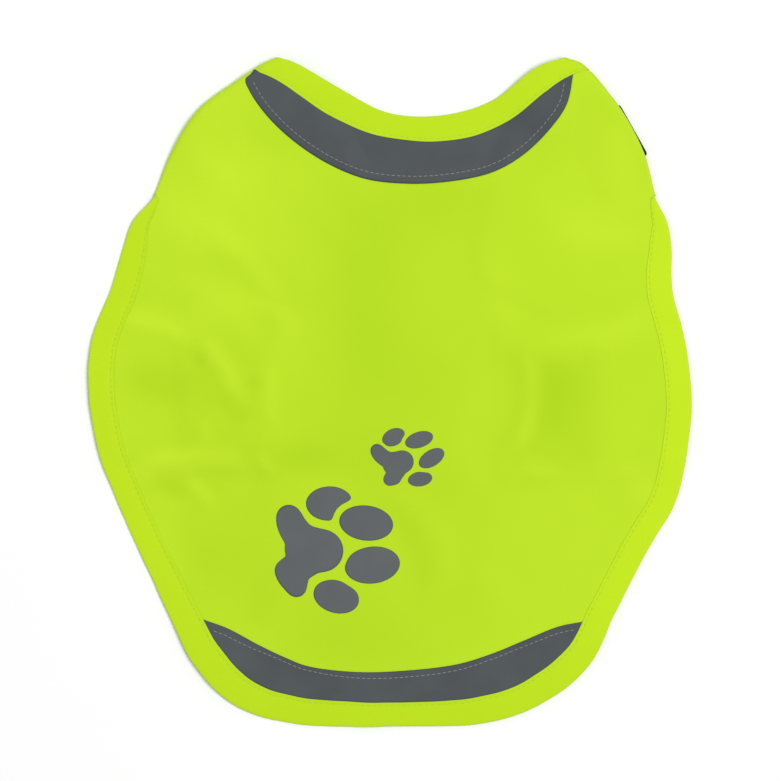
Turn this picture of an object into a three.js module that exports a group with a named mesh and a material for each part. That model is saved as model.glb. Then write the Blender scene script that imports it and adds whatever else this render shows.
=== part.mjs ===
// A dog safety vest of hi-vis cloth, laid flat on its inner side. Millimetres, +Z up, neck towards +Y.
//
// One cut of cloth makes the back panel and the two neck straps, which are folded under at the shoulders.
// Two belly straps are sewn on inside the side edges and tucked under the panel. Bias binding closes the
// neck and the body edge, and a crescent of reflective tape lies along each of the two. Black hook and
// loop patches close the straps.
//
// Every cloth piece is a sheet: points on the middle of the cloth, thickened along their normals.

import * as THREE from 'three';

// Driving dimensions.
const CLOTH = 1; // wall of the cloth, the tape and the binding
const GAP = 0.3; // between two pieces at a seam
const BINDING_WIDTH = 14;
const PATCH = 1; // height of a hook or loop patch
const FOLD_HEIGHT = 5.2; // underside of the panel at a shoulder fold, over the floor
const FOLD_END_HEIGHT = 2.4; // the same at the fold's lower end, where the bound side edge starts
const TUCK = 18; // how far the neck binding runs on under a fold
const NECK_END = 8; // from the fold to the end of the neck binding's inner edge
const FOLD_DROP = 0.62; // share of the fold's length where it starts to come down
const FOLD_BLEND = 0.8; // share of it where the edge starts to move out to the body binding
const FOLD_END = 3; // bare edge between the fold and the first of the body binding
const NARROW_START = 6; // binding width that shows where the side edge comes out of the fold
const NARROW_RUN = 30; // edge length over which it reaches its full width

const UNDER_LEG = CLOTH + GAP; // a panel edge lies this high, over the binding's lower leg
const EDGE_INSET = CLOTH + GAP; // the panel stops this far inside the binding's outer edge
const REACH = CLOTH / 2 + GAP + CLOTH; // from the middle of the cloth to the outside of the binding
const NOSE = { up: 0.72 * REACH, out: 0.75 * EDGE_INSET }; // corner of the binding's rounded outer edge

// Mesh counts.
const ACROSS = 30; // cells from side to side
const FOLD_ROWS = 10; // cells along a shoulder fold
const SIDE_ROWS = 26; // cells along a side edge, from the fold's end to the tail
const ROLL_STEPS = 6; // around a fold
const STRAP_STEPS = 7; // along a neck strap
const DOWN = FOLD_ROWS + SIDE_ROWS;
const SEARCH = 800; // places tried along an edge to find the nearest
const SAMPLES = 32; // places along a fold, or along each stretch of bound edge
const STRAP_SAMPLES = 8; // places along a side of a strap
const TAPE_STEPS = 44; // cells along a crescent of reflective tape
const TAPE_CELLS = 4; // cells across it

// The outline of the laid vest. Each level gives the left and right edge at its height.
const LEVELS = [
  { y: 185.6, left: -62, right: 96.5 }, // neck corners
  { y: 181.2, left: -69.5, right: 105.5 },
  { y: 174.5, left: -80.5, right: 113 },
  { y: 156.5, left: -105.5, right: 127.5 },
  { y: 130.5, left: -122, right: 141.2 },
  { y: 108, left: -130.5, right: 146.6 }, // lower ends of the folds
  { y: 93, left: -143, right: 153.8 },
  { y: 80, left: -147.8, right: 155.8 },
  { y: 55, left: -155.2, right: 156.8 },
  { y: 30, left: -165, right: 163 },
  { y: 0, left: -167, right: 167 },
  { y: -32, left: -162, right: 165 },
  { y: -62, left: -151, right: 158 },
  { y: -92, left: -137.5, right: 140.7 },
  { y: -124, left: -122.5, right: 124.5 },
  { y: -152, left: -108.5, right: 110.5 },
];
const WAIST = 9; // row of LEVELS whose width the belly straps' roots are looked for from
const FOLD_LEVEL = 5; // row of LEVELS where the folds end
const TAIL = [
  { x: 93, y: -168 },
  { x: 60, y: -182.8 },
  { x: 4, y: -186 },
  { x: -54, y: -184.3 },
  { x: -85, y: -175 },
];
const NECK = [
  { x: -62, y: 185.6 },
  { x: -53.5, y: 182.2 },
  { x: -27.5, y: 167.3 },
  { x: -4, y: 155 },
  { x: 14, y: 152 },
  { x: 36, y: 153.8 },
  { x: 58, y: 161.5 },
  { x: 80, y: 178.3 },
  { x: 96.5, y: 185.6 },
];

// Free edges of the two reflective crescents, from tip to tip. Their other edges follow the binding.
const NECK_TAPE = [
  { x: -74, y: 172 },
  { x: -67.5, y: 152 },
  { x: -53.5, y: 137.5 },
  { x: -21, y: 120.3 },
  { x: 2, y: 115 },
  { x: 30, y: 115 },
  { x: 49, y: 120.3 },
  { x: 81.5, y: 139.5 },
  { x: 94.5, y: 152.5 },
  { x: 101, y: 170.5 },
];
const TAIL_TAPE = [
  { x: -102, y: -128 },
  { x: -89, y: -131.5 },
  { x: -57.5, y: -149.7 },
  { x: -46, y: -153.6 },
  { x: -21, y: -156.5 },
  { x: 4, y: -156.2 },
  { x: 37, y: -153 },
  { x: 93.4, y: -130 },
  { x: 107, y: -128.4 },
];

// The folded neck straps: where the end's middle lies, which way the strap runs and half its end width.
const NECK_STRAPS = {
  left: { side: -1, end: { x: -36, y: 68 }, along: { x: 0.65, y: -0.76 }, half: 28, lead: { x: 28, y: -8 } },
  right: { side: 1, end: { x: 73, y: 58 }, along: { x: -0.5, y: -0.866 }, half: 27, lead: { x: -20, y: -12 } },
};
// The tucked belly straps: top and bottom of the root on the side edge, and where the free end lies.
const BELLY_STRAPS = {
  left: { side: -1, top: 40, bottom: -38, tip: -66, corner: 12 },
  right: { side: 1, top: 31, bottom: -42, tip: 67, corner: 16 },
};
// Hook and loop patches: middle, size, turn in degrees, and the height of the face they stand on.
const PATCHES = {
  hook_patch_neck: { x: 123.9, y: 138.7, width: 32, depth: 24, turn: -59.7, z: 0 },
  loop_patch_neck: { x: -53, y: 88, width: 46, depth: 24, turn: -49.5, z: CLOTH + GAP },
  hook_patch_belly: { x: 92, y: -6, width: 34, depth: 50, turn: 0, z: 0 },
  loop_patch_belly: { x: -92, y: 0, width: 34, depth: 50, turn: 0, z: CLOTH + GAP },
};
const UNDER_STRAP = ['hook_patch_neck', 'hook_patch_belly'];

// How cloth lies over a thing under it: level up to a margin past it, then down to the floor over a run.
const DRAPE = {
  strapOverPatch: { margin: 6, run: 12 },
  strapOverTuck: { margin: 3, run: 14 },
  overBinding: { margin: BINDING_WIDTH + 2, run: 15 },
  overTuck: { margin: 2, run: 42 },
  overFold: { margin: 4, run: 44 },
  overStrap: { margin: 2, run: 16 },
  overPatch: { margin: 3, run: 22 },
};
const SHARPNESS = 5; // of the meeting between two things that lift the cloth

// Soft ridges that the laid cloth keeps: a line from a to b, with its height and half its width.
const RIDGES = [
  { ax: -150, ay: 44, bx: -113, by: 33, height: 1.2, spread: 19 },
  { ax: -113, ay: 33, bx: -84, by: 6, height: 1.4, spread: 20 },
  { ax: -136, ay: -39, bx: -82, by: -36, height: 0.9, spread: 20 },
  { ax: -110, ay: -54, bx: -88, by: -84, height: 0.8, spread: 20 },
  { ax: -124, ay: 84, bx: -60, by: 40, height: 0.9, spread: 24 },
  { ax: 70, ay: 24, bx: 65, by: -12, height: 1, spread: 20 },
  { ax: 65, ay: -12, bx: 73, by: -40, height: 1, spread: 20 },
  { ax: 80, ay: 27, bx: 144, by: 36, height: 0.8, spread: 20 },
  { ax: 78, ay: 90, bx: 122, by: 92, height: 0.8, spread: 20 },
  { ax: 44, ay: -28, bx: 98, by: -62, height: 0.6, spread: 24 },
];
// Stretches of edge that lift off the floor: the middle, the height and the reach round it.
const LIFTS = [
  { x: -167, y: -5, height: 1.6, reach: 62 },
  { x: -112, y: -152, height: 1.8, reach: 58 },
  { x: 168, y: -12, height: 1.7, reach: 60 },
  { x: 116, y: -140, height: 1.2, reach: 52 },
  { x: 14, y: 152, height: 1.2, reach: 46 },
];

const LIME = { color: 0xbfe31f, roughness: 0.62, metalness: 0 };
const TAPE = { color: 0x54595c, roughness: 0.45, metalness: 0 };
const BLACK = { color: 0x16181a, roughness: 0.9, metalness: 0 };

const clamp = THREE.MathUtils.clamp;
const lerp = THREE.MathUtils.lerp;
const ease = (t) => THREE.MathUtils.smoothstep(t, 0, 1);
const range = (count) => Array.from({ length: count }, (_, i) => i);
const flat = (row) => new THREE.Vector3(row.x, row.y, 0);

// --- Curves on the floor ---

// A flat curve walked clockwise by its length, so that the cloth lies to its right. It runs on straight
// past both ends.
class Edge {
  constructor(rows) {
    this.curve = new THREE.CatmullRomCurve3(rows.map(flat), false, 'centripetal');
    this.curve.arcLengthDivisions = 900;
    this.length = this.curve.getLength();
  }

  at(length) {
    const share = clamp(length / this.length, 0, 1);
    const run = this.curve.getTangentAt(share).normalize();
    const point = this.curve.getPointAt(share).addScaledVector(run, length - share * this.length);
    return { point, inward: new THREE.Vector3(run.y, -run.x, 0) };
  }

  // The length at which the curve passes nearest to a point.
  lengthNear(target) {
    const steps = range(SEARCH + 1).map((i) => lerp(-BINDING_WIDTH, this.length + BINDING_WIDTH, i / SEARCH));
    const gaps = steps.map((length) => this.at(length).point.distanceTo(target));
    return steps[gaps.indexOf(Math.min(...gaps))];
  }
}

const rightSide = LEVELS.map(({ y, right }) => ({ x: right, y }));
const leftSide = LEVELS.map(({ y, left }) => ({ x: left, y })).reverse();
const neckEdge = new Edge(NECK);
const bodyEdge = new Edge([...rightSide, ...TAIL, ...leftSide]);

const foldLength = {
  right: bodyEdge.lengthNear(flat(rightSide[FOLD_LEVEL])),
  left: bodyEdge.length - bodyEdge.lengthNear(flat(leftSide[leftSide.length - 1 - FOLD_LEVEL])),
};
const sideLength = {
  right: bodyEdge.lengthNear(flat(rightSide.at(-1))),
  left: bodyEdge.length - bodyEdge.lengthNear(flat(leftSide[0])),
};

// A place on a side edge, by its length from the neck corner.
function onSide(side, length) {
  return bodyEdge.at(side === 'right' ? length : bodyEdge.length - length);
}

// Places along an edge from one length to another.
function stretch(edge, from, to, count) {
  return range(count + 1).map((i) => edge.at(lerp(from, to, i / count)).point);
}

const foldLine = {
  right: stretch(bodyEdge, 0, foldLength.right, SAMPLES),
  left: stretch(bodyEdge, bodyEdge.length, bodyEdge.length - foldLength.left, SAMPLES),
};
const boundLine = [
  ...stretch(neckEdge, 0, neckEdge.length, SAMPLES),
  ...stretch(bodyEdge, foldLength.right, bodyEdge.length - foldLength.left, 4 * SAMPLES),
];

// --- Distances ---

function toSegment(x, y, a, b) {
  const run = { x: b.x - a.x, y: b.y - a.y };
  const share = clamp(((x - a.x) * run.x + (y - a.y) * run.y) / (run.x ** 2 + run.y ** 2 || 1), 0, 1);
  return Math.hypot(x - a.x - run.x * share, y - a.y - run.y * share);
}

function toLine(x, y, points) {
  return Math.min(...points.slice(1).map((point, i) => toSegment(x, y, points[i], point)));
}

// Distance to a closed outline, and 0 inside it.
function toPatch(x, y, points) {
  const next = (i) => points[(i + 1) % points.length];
  const crossings = points.filter((a, i) => {
    const b = next(i);
    return a.y > y !== b.y > y && x < a.x + ((b.x - a.x) * (y - a.y)) / (b.y - a.y);
  }).length;
  return crossings % 2 ? 0 : toLine(x, y, [...points, points[0]]);
}

// --- Heights ---

const over = (distance, height, { margin, run }) => height * ease(1 - (distance - margin) / run);
// A soft largest value, 0 only where every value is 0.
const most = (values) => values.reduce((sum, value) => sum + value ** SHARPNESS, 0) ** (1 / SHARPNESS);

function patchCorners({ x, y, width, depth, turn }) {
  const angle = THREE.MathUtils.degToRad(turn);
  const along = { x: Math.cos(angle), y: Math.sin(angle) };
  return [[-1, -1], [1, -1], [1, 1], [-1, 1]].map(([u, v]) => ({
    x: x + (along.x * width * u) / 2 - (along.y * depth * v) / 2,
    y: y + (along.y * width * u) / 2 + (along.x * depth * v) / 2,
  }));
}
const patchOutlines = Object.fromEntries(
  Object.entries(PATCHES).map(([name, patch]) => [name, patchCorners(patch)]),
);

// The zone at a neck corner where the binding is tucked under the fold.
const tuckZone = Object.fromEntries(['left', 'right'].map((side) => {
  const corner = onSide(side, 0);
  const far = onSide(side, BINDING_WIDTH);
  const inner = (place) => place.point.clone().addScaledVector(place.inward, TUCK);
  return [side, [corner.point, far.point, inner(far), inner(corner)]];
}));

// Underside of a folded neck strap, or of a belly strap.
function strapHeight(x, y) {
  const patches = UNDER_STRAP.map((name) =>
    over(toPatch(x, y, patchOutlines[name]), PATCH + GAP, DRAPE.strapOverPatch));
  const tucks = Object.values(tuckZone).map((zone) =>
    over(toPatch(x, y, zone), UNDER_LEG, DRAPE.strapOverTuck));
  return Math.max(...patches, ...tucks);
}

// Free sides of a neck strap, from its root on the fold to its end.
function strapPoint(name, share, along) {
  const { side, end, along: way, half, lead } = NECK_STRAPS[name];
  const root = onSide(name, foldLength[name] * share);
  const start = root.point.clone().addScaledVector(root.inward, foldInset(name, share));
  const across = lerp(-half, half, share) * side;
  const finish = new THREE.Vector3(end.x - way.y * across, end.y + way.x * across, 0);
  const bend = start.clone().add(flat(lead));
  return new THREE.QuadraticBezierCurve3(start, bend, finish).getPoint(along);
}

// The middle of the roll lies this far inside the outline of the fold.
function foldInset(side, share) {
  const rest = onSide(side, foldLength[side] * share).point;
  return (foldHeight(share) - strapHeight(rest.x, rest.y)) / 2 + CLOTH / 2;
}

function foldHeight(share) {
  return lerp(FOLD_HEIGHT, FOLD_END_HEIGHT, ease((share - FOLD_DROP) / (1 - FOLD_DROP)));
}

const shares = range(STRAP_SAMPLES + 1).map((i) => i / STRAP_SAMPLES);
const strapOutline = Object.fromEntries(['left', 'right'].map((name) => [name, [
  ...shares.map((share) => strapPoint(name, 0, share)),
  ...shares.map((share) => strapPoint(name, 1, 1 - share)),
  ...shares.map((share) => strapPoint(name, 1 - share, 0)),
]]));

// The sewn root of a belly strap, just inside the body binding, from top to bottom.
function bellyRoot({ side, top, bottom }) {
  return shares.map((share) => {
    const y = lerp(top, bottom, share);
    const place = bodyEdge.at(bodyEdge.lengthNear(flat({ x: side * LEVELS[WAIST].right, y })));
    return place.point.clone().addScaledVector(place.inward, BINDING_WIDTH + 2 * GAP);
  });
}
const bellyRoots = { left: bellyRoot(BELLY_STRAPS.left), right: bellyRoot(BELLY_STRAPS.right) };
const bellyOutlines = Object.entries(BELLY_STRAPS).map(([name, { top, bottom, tip }]) =>
  [...bellyRoots[name], { x: tip, y: bottom }, { x: tip, y: top }]);

// Underside of the back panel.
function panelHeight(x, y) {
  const folds = Object.values(foldLine).map((line) => {
    const gaps = line.map((point) => Math.hypot(x - point.x, y - point.y));
    const nearest = Math.min(...gaps);
    return over(nearest, foldHeight(gaps.indexOf(nearest) / SAMPLES), DRAPE.overFold);
  });
  const onLayer = (outlines, layers, drape) =>
    Object.values(outlines).map((outline) => over(toPatch(x, y, outline), layers * (CLOTH + GAP), drape));
  const lie = most([
    over(toLine(x, y, boundLine), UNDER_LEG, DRAPE.overBinding),
    ...Object.values(tuckZone).map((zone) => over(toPatch(x, y, zone), FOLD_HEIGHT, DRAPE.overTuck)),
    ...folds,
    ...onLayer(strapOutline, 1, DRAPE.overStrap),
    ...onLayer(bellyOutlines, 1, DRAPE.overStrap),
    ...onLayer(patchOutlines, 2, DRAPE.overPatch),
  ]);
  const ridges = RIDGES.map(({ ax, ay, bx, by, height, spread }) =>
    over(toSegment(x, y, { x: ax, y: ay }, { x: bx, y: by }), height, { margin: 0, run: spread }));
  const lifts = LIFTS.map(({ height, reach, ...middle }) =>
    over(Math.hypot(x - middle.x, y - middle.y), height, { margin: 0, run: reach }));
  return lie + most(ridges) + most(lifts);
}

// --- Sheets and walls ---

// A sheet of cloth: points on its middle, joined by triangles that face out.
class Sheet {
  constructor() {
    this.points = [];
    this.triangles = [];
  }

  add(point) {
    return this.points.push(point) - 1;
  }

  quad(a, b, c, d) {
    this.triangles.push([a, b, c], [a, c, d]);
  }

  // Joins a grid of point numbers; the surface faces up where rows run down and columns run right.
  grid(rows, turned = false) {
    for (let j = 0; j + 1 < rows.length; j++) {
      for (let i = 0; i + 1 < rows[j].length; i++) {
        const cell = [rows[j][i], rows[j + 1][i], rows[j + 1][i + 1], rows[j][i + 1]];
        this.quad(...(turned ? cell.reverse() : cell));
      }
    }
  }

  normals() {
    const found = this.points.map(() => new THREE.Vector3());
    for (const [a, b, c] of this.triangles) {
      const [p, q, r] = [a, b, c].map((i) => this.points[i]);
      const face = q.clone().sub(p).cross(r.clone().sub(p));
      for (const i of [a, b, c]) found[i].add(face);
    }
    return found.map((normal) => normal.normalize());
  }

  // The sheet as a closed wall of the given thickness.
  wall(thickness) {
    const normals = this.normals();
    const half = thickness / 2;
    const moved = (way) => this.points.map((p, i) => p.clone().addScaledVector(normals[i], way * half));
    const count = this.points.length;
    const faces = this.triangles.flatMap(([a, b, c]) => [[a, b, c], [count + c, count + b, count + a]]);
    const edges = new Map();
    for (const [a, b, c] of this.triangles) {
      for (const [from, to] of [[a, b], [b, c], [c, a]]) {
        if (!edges.delete(`${to} ${from}`)) edges.set(`${from} ${to}`, [from, to]);
      }
    }
    for (const [from, to] of edges.values()) {
      faces.push([to, from, count + from], [to, count + from, count + to]);
    }
    return solid([...moved(1), ...moved(-1)], faces);
  }
}

function solid(points, faces) {
  const geometry = new THREE.BufferGeometry();
  geometry.setAttribute('position', new THREE.Float32BufferAttribute(points.flatMap((p) => p.toArray()), 3));
  geometry.setIndex(faces.flat());
  geometry.computeVertexNormals();
  return geometry;
}

// --- The back panel with its neck straps ---

// How far along a side edge the rows lie, counted from the neck corner.
function sideRows(side) {
  const first = [0, BINDING_WIDTH + GAP];
  const fold = range(FOLD_ROWS - 1).map((i) => lerp(first[1], foldLength[side], (i + 1) / (FOLD_ROWS - 1)));
  const bare = foldLength[side] + FOLD_END;
  const rest = range(SIDE_ROWS).map((i) => lerp(bare, sideLength[side], i / (SIDE_ROWS - 1)));
  return [...first, ...fold, ...rest];
}

// The corner where a line inset from the neck edge meets one inset from the side edge, and how far along
// the neck it lies.
function mitre(side, neckInset, sideInset) {
  const neck = neckEdge.at(side === 'right' ? neckEdge.length : 0).inward;
  const flank = onSide(side, 0).inward;
  const cosine = neck.dot(flank);
  const shift = neck.clone().multiplyScalar((neckInset - sideInset * cosine) / (1 - cosine ** 2));
  shift.addScaledVector(flank, (sideInset - neckInset * cosine) / (1 - cosine ** 2));
  const turned = new THREE.Vector3(-neck.y, neck.x, 0).multiplyScalar(side === 'right' ? -1 : 1);
  return { point: onSide(side, 0).point.add(shift), neckRun: shift.dot(turned) };
}

// The inset of the panel's edge at a side row: it stays inside the roll or the binding.
function edgeInset(side, length) {
  const share = length / foldLength[side];
  if (share >= 1) return EDGE_INSET;
  const bound = length <= BINDING_WIDTH + GAP ? REACH - CLOTH / 2 : 0;
  return lerp(foldInset(side, share) + bound, EDGE_INSET, ease((share - FOLD_BLEND) / (1 - FOLD_BLEND)));
}

function visibleBinding(side, length) {
  const past = length - foldLength[side];
  return lerp(NARROW_START, BINDING_WIDTH, ease(past / NARROW_RUN));
}

// The four sides of a ring round the panel. The ring of width 0 is the panel's own edge.
function ringSides(width) {
  const inset = width || EDGE_INSET;
  const sideInset = (name, length, row) => {
    if (!width) return edgeInset(name, length);
    if (!row) return NECK_END;
    return row > FOLD_ROWS ? visibleBinding(name, length) : width;
  };
  const corner = {
    left: mitre('left', inset, sideInset('left', 0, 0)),
    right: mitre('right', inset, sideInset('right', 0, 0)),
  };
  const top = range(ACROSS + 1).map((i) => {
    const place = neckEdge.at(lerp(corner.left.neckRun, neckEdge.length - corner.right.neckRun, i / ACROSS));
    return place.point.addScaledVector(place.inward, inset);
  });
  top[0] = corner.left.point;
  top[ACROSS] = corner.right.point;
  const side = (name) => sideRows(name).map((length, row) => {
    const place = onSide(name, length);
    return row ? place.point.addScaledVector(place.inward, sideInset(name, length, row)) : corner[name].point;
  });
  const bottom = range(ACROSS + 1).map((i) => {
    const place = bodyEdge.at(lerp(bodyEdge.length - sideLength.left, sideLength.right, i / ACROSS));
    return place.point.addScaledVector(place.inward, inset);
  });
  return { top, bottom, left: side('left'), right: side('right') };
}

// Points between the four sides of a ring, as a grid.
function blend({ top, bottom, left, right }, row, column) {
  const down = row / DOWN;
  const along = column / ACROSS;
  const mixed = new THREE.Vector3();
  mixed.addScaledVector(top[column], 1 - down).addScaledVector(bottom[column], down);
  mixed.addScaledVector(left[row], 1 - along).addScaledVector(right[row], along);
  mixed.addScaledVector(top[0], -(1 - along) * (1 - down)).addScaledVector(top[ACROSS], -along * (1 - down));
  mixed.addScaledVector(bottom[0], -(1 - along) * down).addScaledVector(bottom[ACROSS], -along * down);
  return mixed;
}

const laid = (point, height, lift = CLOTH / 2) => point.clone().setZ(height(point.x, point.y) + lift);

// Walks a ring clockwise from the left neck corner.
function around({ top, right, bottom, left }) {
  const back = bottom.slice(1).reverse();
  const up = left.slice(1).reverse();
  return [...top.slice(0, -1), ...right.slice(0, -1), ...back, ...up];
}

function panelSheet() {
  const sheet = new Sheet();
  const place = (point) => sheet.add(laid(point, panelHeight));
  const inner = ringSides(BINDING_WIDTH);
  const columns = range(ACROSS + 1);
  const rows = range(DOWN + 1).map((row) => columns.map((column) => place(blend(inner, row, column))));
  sheet.grid(rows);

  const edge = ringSides(0);
  const outside = {
    top: edge.top.map(place),
    right: edge.right.map((point, i) => (i ? place(point) : null)),
    bottom: edge.bottom.map((point, i) => (i && i < ACROSS ? place(point) : null)),
    left: edge.left.map((point, i) => (i ? place(point) : null)),
  };
  outside.right[0] = outside.top[ACROSS];
  outside.left[0] = outside.top[0];
  outside.bottom[0] = outside.left.at(-1);
  outside.bottom[ACROSS] = outside.right.at(-1);
  const insideRing = around({
    top: rows[0],
    right: rows.map((row) => row[ACROSS]),
    bottom: rows[DOWN],
    left: rows.map((row) => row[0]),
  });
  const outsideRing = around(outside);
  outsideRing.forEach((from, i) => {
    const next = (i + 1) % outsideRing.length;
    sheet.quad(insideRing[i], insideRing[next], outsideRing[next], from);
  });
  return { sheet, outside, inside: { rows, ring: insideRing }, outsideRing };
}

// The roll of a shoulder fold and the strap that runs on under the panel.
function addStrap(sheet, name, roots) {
  const lengths = sideRows(name).slice(0, FOLD_ROWS + 1);
  const rows = lengths.map((length, row) => {
    const share = length / foldLength[name];
    const root = sheet.points[roots[row]];
    const { inward } = onSide(name, length);
    const low = strapHeight(root.x, root.y) + CLOTH / 2;
    const radius = (root.z - low) / 2;
    const roll = range(ROLL_STEPS).map((step) => {
      const angle = (Math.PI * (step + 1)) / ROLL_STEPS;
      const point = root.clone().addScaledVector(inward, -radius * Math.sin(angle));
      return sheet.add(point.setZ(root.z - radius * (1 - Math.cos(angle))));
    });
    const start = strapPoint(name, share, 0);
    const shift = root.clone().setZ(0).sub(start);
    const strap = range(STRAP_STEPS).map((step) => {
      const along = (step + 1) / STRAP_STEPS;
      const point = strapPoint(name, share, along).addScaledVector(shift, 1 - along);
      return sheet.add(laid(point, strapHeight));
    });
    return [roots[row], ...roll, ...strap];
  });
  sheet.grid(rows, name === 'left');
  return rows;
}

const panel = panelSheet();
const strapRows = {
  left: addStrap(panel.sheet, 'left', panel.outside.left),
  right: addStrap(panel.sheet, 'right', panel.outside.right),
};
const cloth = panel.sheet;
const clothNormals = cloth.normals();
const clothFaces = cloth.triangles.map((corners) => corners.map((i) => cloth.points[i]));

// The highest place of the cloth over a point on the floor, and its slope as a normal.
function onCloth({ x, y }) {
  const inside = (p, q) => (q.x - p.x) * (y - p.y) - (q.y - p.y) * (x - p.x) >= -1e-6;
  const found = clothFaces.filter(([a, b, c]) => inside(a, b) && inside(b, c) && inside(c, a));
  const heights = found.map(([a, b, c]) => {
    const normal = b.clone().sub(a).cross(c.clone().sub(a)).normalize();
    return { normal, z: a.z - (normal.x * (x - a.x) + normal.y * (y - a.y)) / normal.z };
  });
  return heights.reduce((best, height) => (height.z > best.z ? height : best));
}

// A point on the middle of a piece that lies on the cloth.
function onTop(point) {
  const { normal, z } = onCloth(point);
  return point.clone().setZ(z + (CLOTH + GAP) / normal.z);
}

// --- Bindings ---

// A place along a binding: the cloth's edge, the inner edge of the tape, and the way out of the cloth.
function station(edge, inner, out) {
  const spot = (i) => ({ point: cloth.points[i], normal: clothNormals[i] });
  const away = cloth.points[edge].clone().sub(cloth.points[inner]);
  away.addScaledVector(clothNormals[edge], -away.dot(clothNormals[edge]));
  return { edge: spot(edge), inner: spot(inner), out: (out ?? away).clone().normalize() };
}

// Sides of the tape's section next to the cloth. Their diagonals run as they do on the cloth, from the
// inner edge on to the next place on the outer one.
const SLANTED = [5, 10];

// The U-shaped tape round a cloth edge, through its stations.
function channel(stations) {
  const near = CLOTH / 2 + GAP;
  const sections = stations.map(({ edge, inner, out }) => {
    const at = ({ point, normal }, up, away = 0) => {
      const spot = point.clone().addScaledVector(normal, up).addScaledVector(out, away);
      return spot.setZ(Math.max(spot.z, 0));
    };
    return [
      at(inner, REACH), at(edge, REACH), at(edge, NOSE.up, NOSE.out), at(edge, 0, EDGE_INSET),
      at(edge, -NOSE.up, NOSE.out), at(edge, -REACH), at(inner, -REACH),
      at(inner, -near), at(edge, -near), at(edge, 0, GAP), at(edge, near), at(inner, near),
    ];
  });
  const size = sections[0].length;
  const faces = [];
  for (let i = 0; i + 1 < sections.length; i++) {
    for (const k of range(size)) {
      const [a, b] = [i * size + k, i * size + ((k + 1) % size)];
      const [c, d] = [b + size, a + size];
      faces.push(...(SLANTED.includes(k) ? [[a, d, b], [b, d, c]] : [[a, d, c], [a, c, b]]));
    }
  }
  // The end caps are quads across the wall: a leg, three round the nose, and the other leg.
  const cap = [[0, 1, 10, 11], [1, 2, 9, 10], [2, 3, 9], [3, 4, 9], [4, 5, 8, 9], [5, 6, 7, 8]];
  const last = (sections.length - 1) * size;
  for (const [a, b, c, d] of cap) {
    faces.push([a, b, c], [last + c, last + b, last + a]);
    if (d !== undefined) faces.push([a, c, d], [last + d, last + c, last + a]);
  }
  return solid(sections.flat(), faces);
}

function bodyBinding() {
  const first = ACROSS + FOLD_ROWS + 1;
  const last = panel.outsideRing.length - FOLD_ROWS - 1;
  const ring = range(last - first + 1).map((i) => first + i);
  return channel(ring.map((i) => station(panel.outsideRing[i], panel.inside.ring[i])));
}

// The neck binding runs along the neck, round both folds and a little way on under the panel.
function neckBinding() {
  const neck = range(ACROSS + 1).map((i) => station(panel.outside.top[i], panel.inside.rows[0][i]));
  const tail = (rows) => range(ROLL_STEPS + 2).map((i) => {
    const out = cloth.points[rows[0][i]].clone().sub(cloth.points[rows[1][i]]);
    return station(rows[0][i], rows[1][i], out);
  });
  return channel([...tail(strapRows.left).reverse(), ...neck, ...tail(strapRows.right)]);
}

// --- Pieces that lie on the panel, and the straps under it ---

// A crescent of tape between its free edge and the binding.
function crescent(freeRows, edge) {
  const free = new Edge(freeRows);
  const sheet = new Sheet();
  const foot = (length) => {
    const place = edge.at(length);
    return place.point.addScaledVector(place.inward, BINDING_WIDTH + GAP);
  };
  const [from, to] = [0, free.length].map((length) => {
    return edge.lengthNear(foot(edge.lengthNear(free.at(length).point)));
  });
  const rows = range(TAPE_STEPS + 1).map((i) => {
    const share = i / TAPE_STEPS;
    const outer = free.at(free.length * share).point;
    const inner = foot(lerp(from, to, share));
    return range(TAPE_CELLS + 1).map((k) => sheet.add(onTop(inner.clone().lerp(outer, k / TAPE_CELLS))));
  });
  sheet.grid(rows, edge === neckEdge);
  return sheet.wall(CLOTH);
}

function bellyStrap(name) {
  const { side, top, bottom, tip, corner } = BELLY_STRAPS[name];
  const sheet = new Sheet();
  const rows = bellyRoots[name].map((start, row) => {
    const share = shares[row];
    const fromEdge = Math.min(share, 1 - share) * (top - bottom);
    const cut = fromEdge < corner ? corner - Math.sqrt(corner ** 2 - (corner - fromEdge) ** 2) : 0;
    const end = new THREE.Vector3(tip + side * cut, lerp(top, bottom, share), 0);
    return shares.map((along) => sheet.add(laid(start.clone().lerp(end, along), strapHeight)));
  });
  sheet.grid(rows, name === 'right');
  return sheet.wall(CLOTH);
}

function patch({ x, y, width, depth, turn, z }) {
  const geometry = new THREE.BoxGeometry(width, depth, PATCH);
  geometry.rotateZ(THREE.MathUtils.degToRad(turn));
  return geometry.translate(x, y, z + PATCH / 2);
}

// --- The vest ---

const vest = new THREE.Group();
vest.name = 'dog_safety_vest';

function piece(name, geometry, finish) {
  const mesh = new THREE.Mesh(geometry, new THREE.MeshStandardMaterial(finish));
  mesh.name = name;
  vest.add(mesh);
}

piece('back_panel', cloth.wall(CLOTH), LIME);
piece('binding_neck', neckBinding(), LIME);
piece('binding_body', bodyBinding(), LIME);
piece('reflector_neck', crescent(NECK_TAPE, neckEdge), TAPE);
piece('reflector_tail', crescent(TAIL_TAPE, bodyEdge), TAPE);
piece('belly_strap_left', bellyStrap('left'), LIME);
piece('belly_strap_right', bellyStrap('right'), LIME);
for (const [name, sizes] of Object.entries(PATCHES)) piece(name, patch(sizes), BLACK);

export default vest;
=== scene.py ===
"""A dog safety vest of hi-vis cloth, laid flat with its neck and belly straps folded under.

Each piece of cloth is worked out as a sheet of points on the middle of the cloth and then given its
thickness. Tables and sizes are in millimetres; +Y is the neck end and +Z is up, out of the outer face.
"""
import math
from collections import namedtuple

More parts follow.
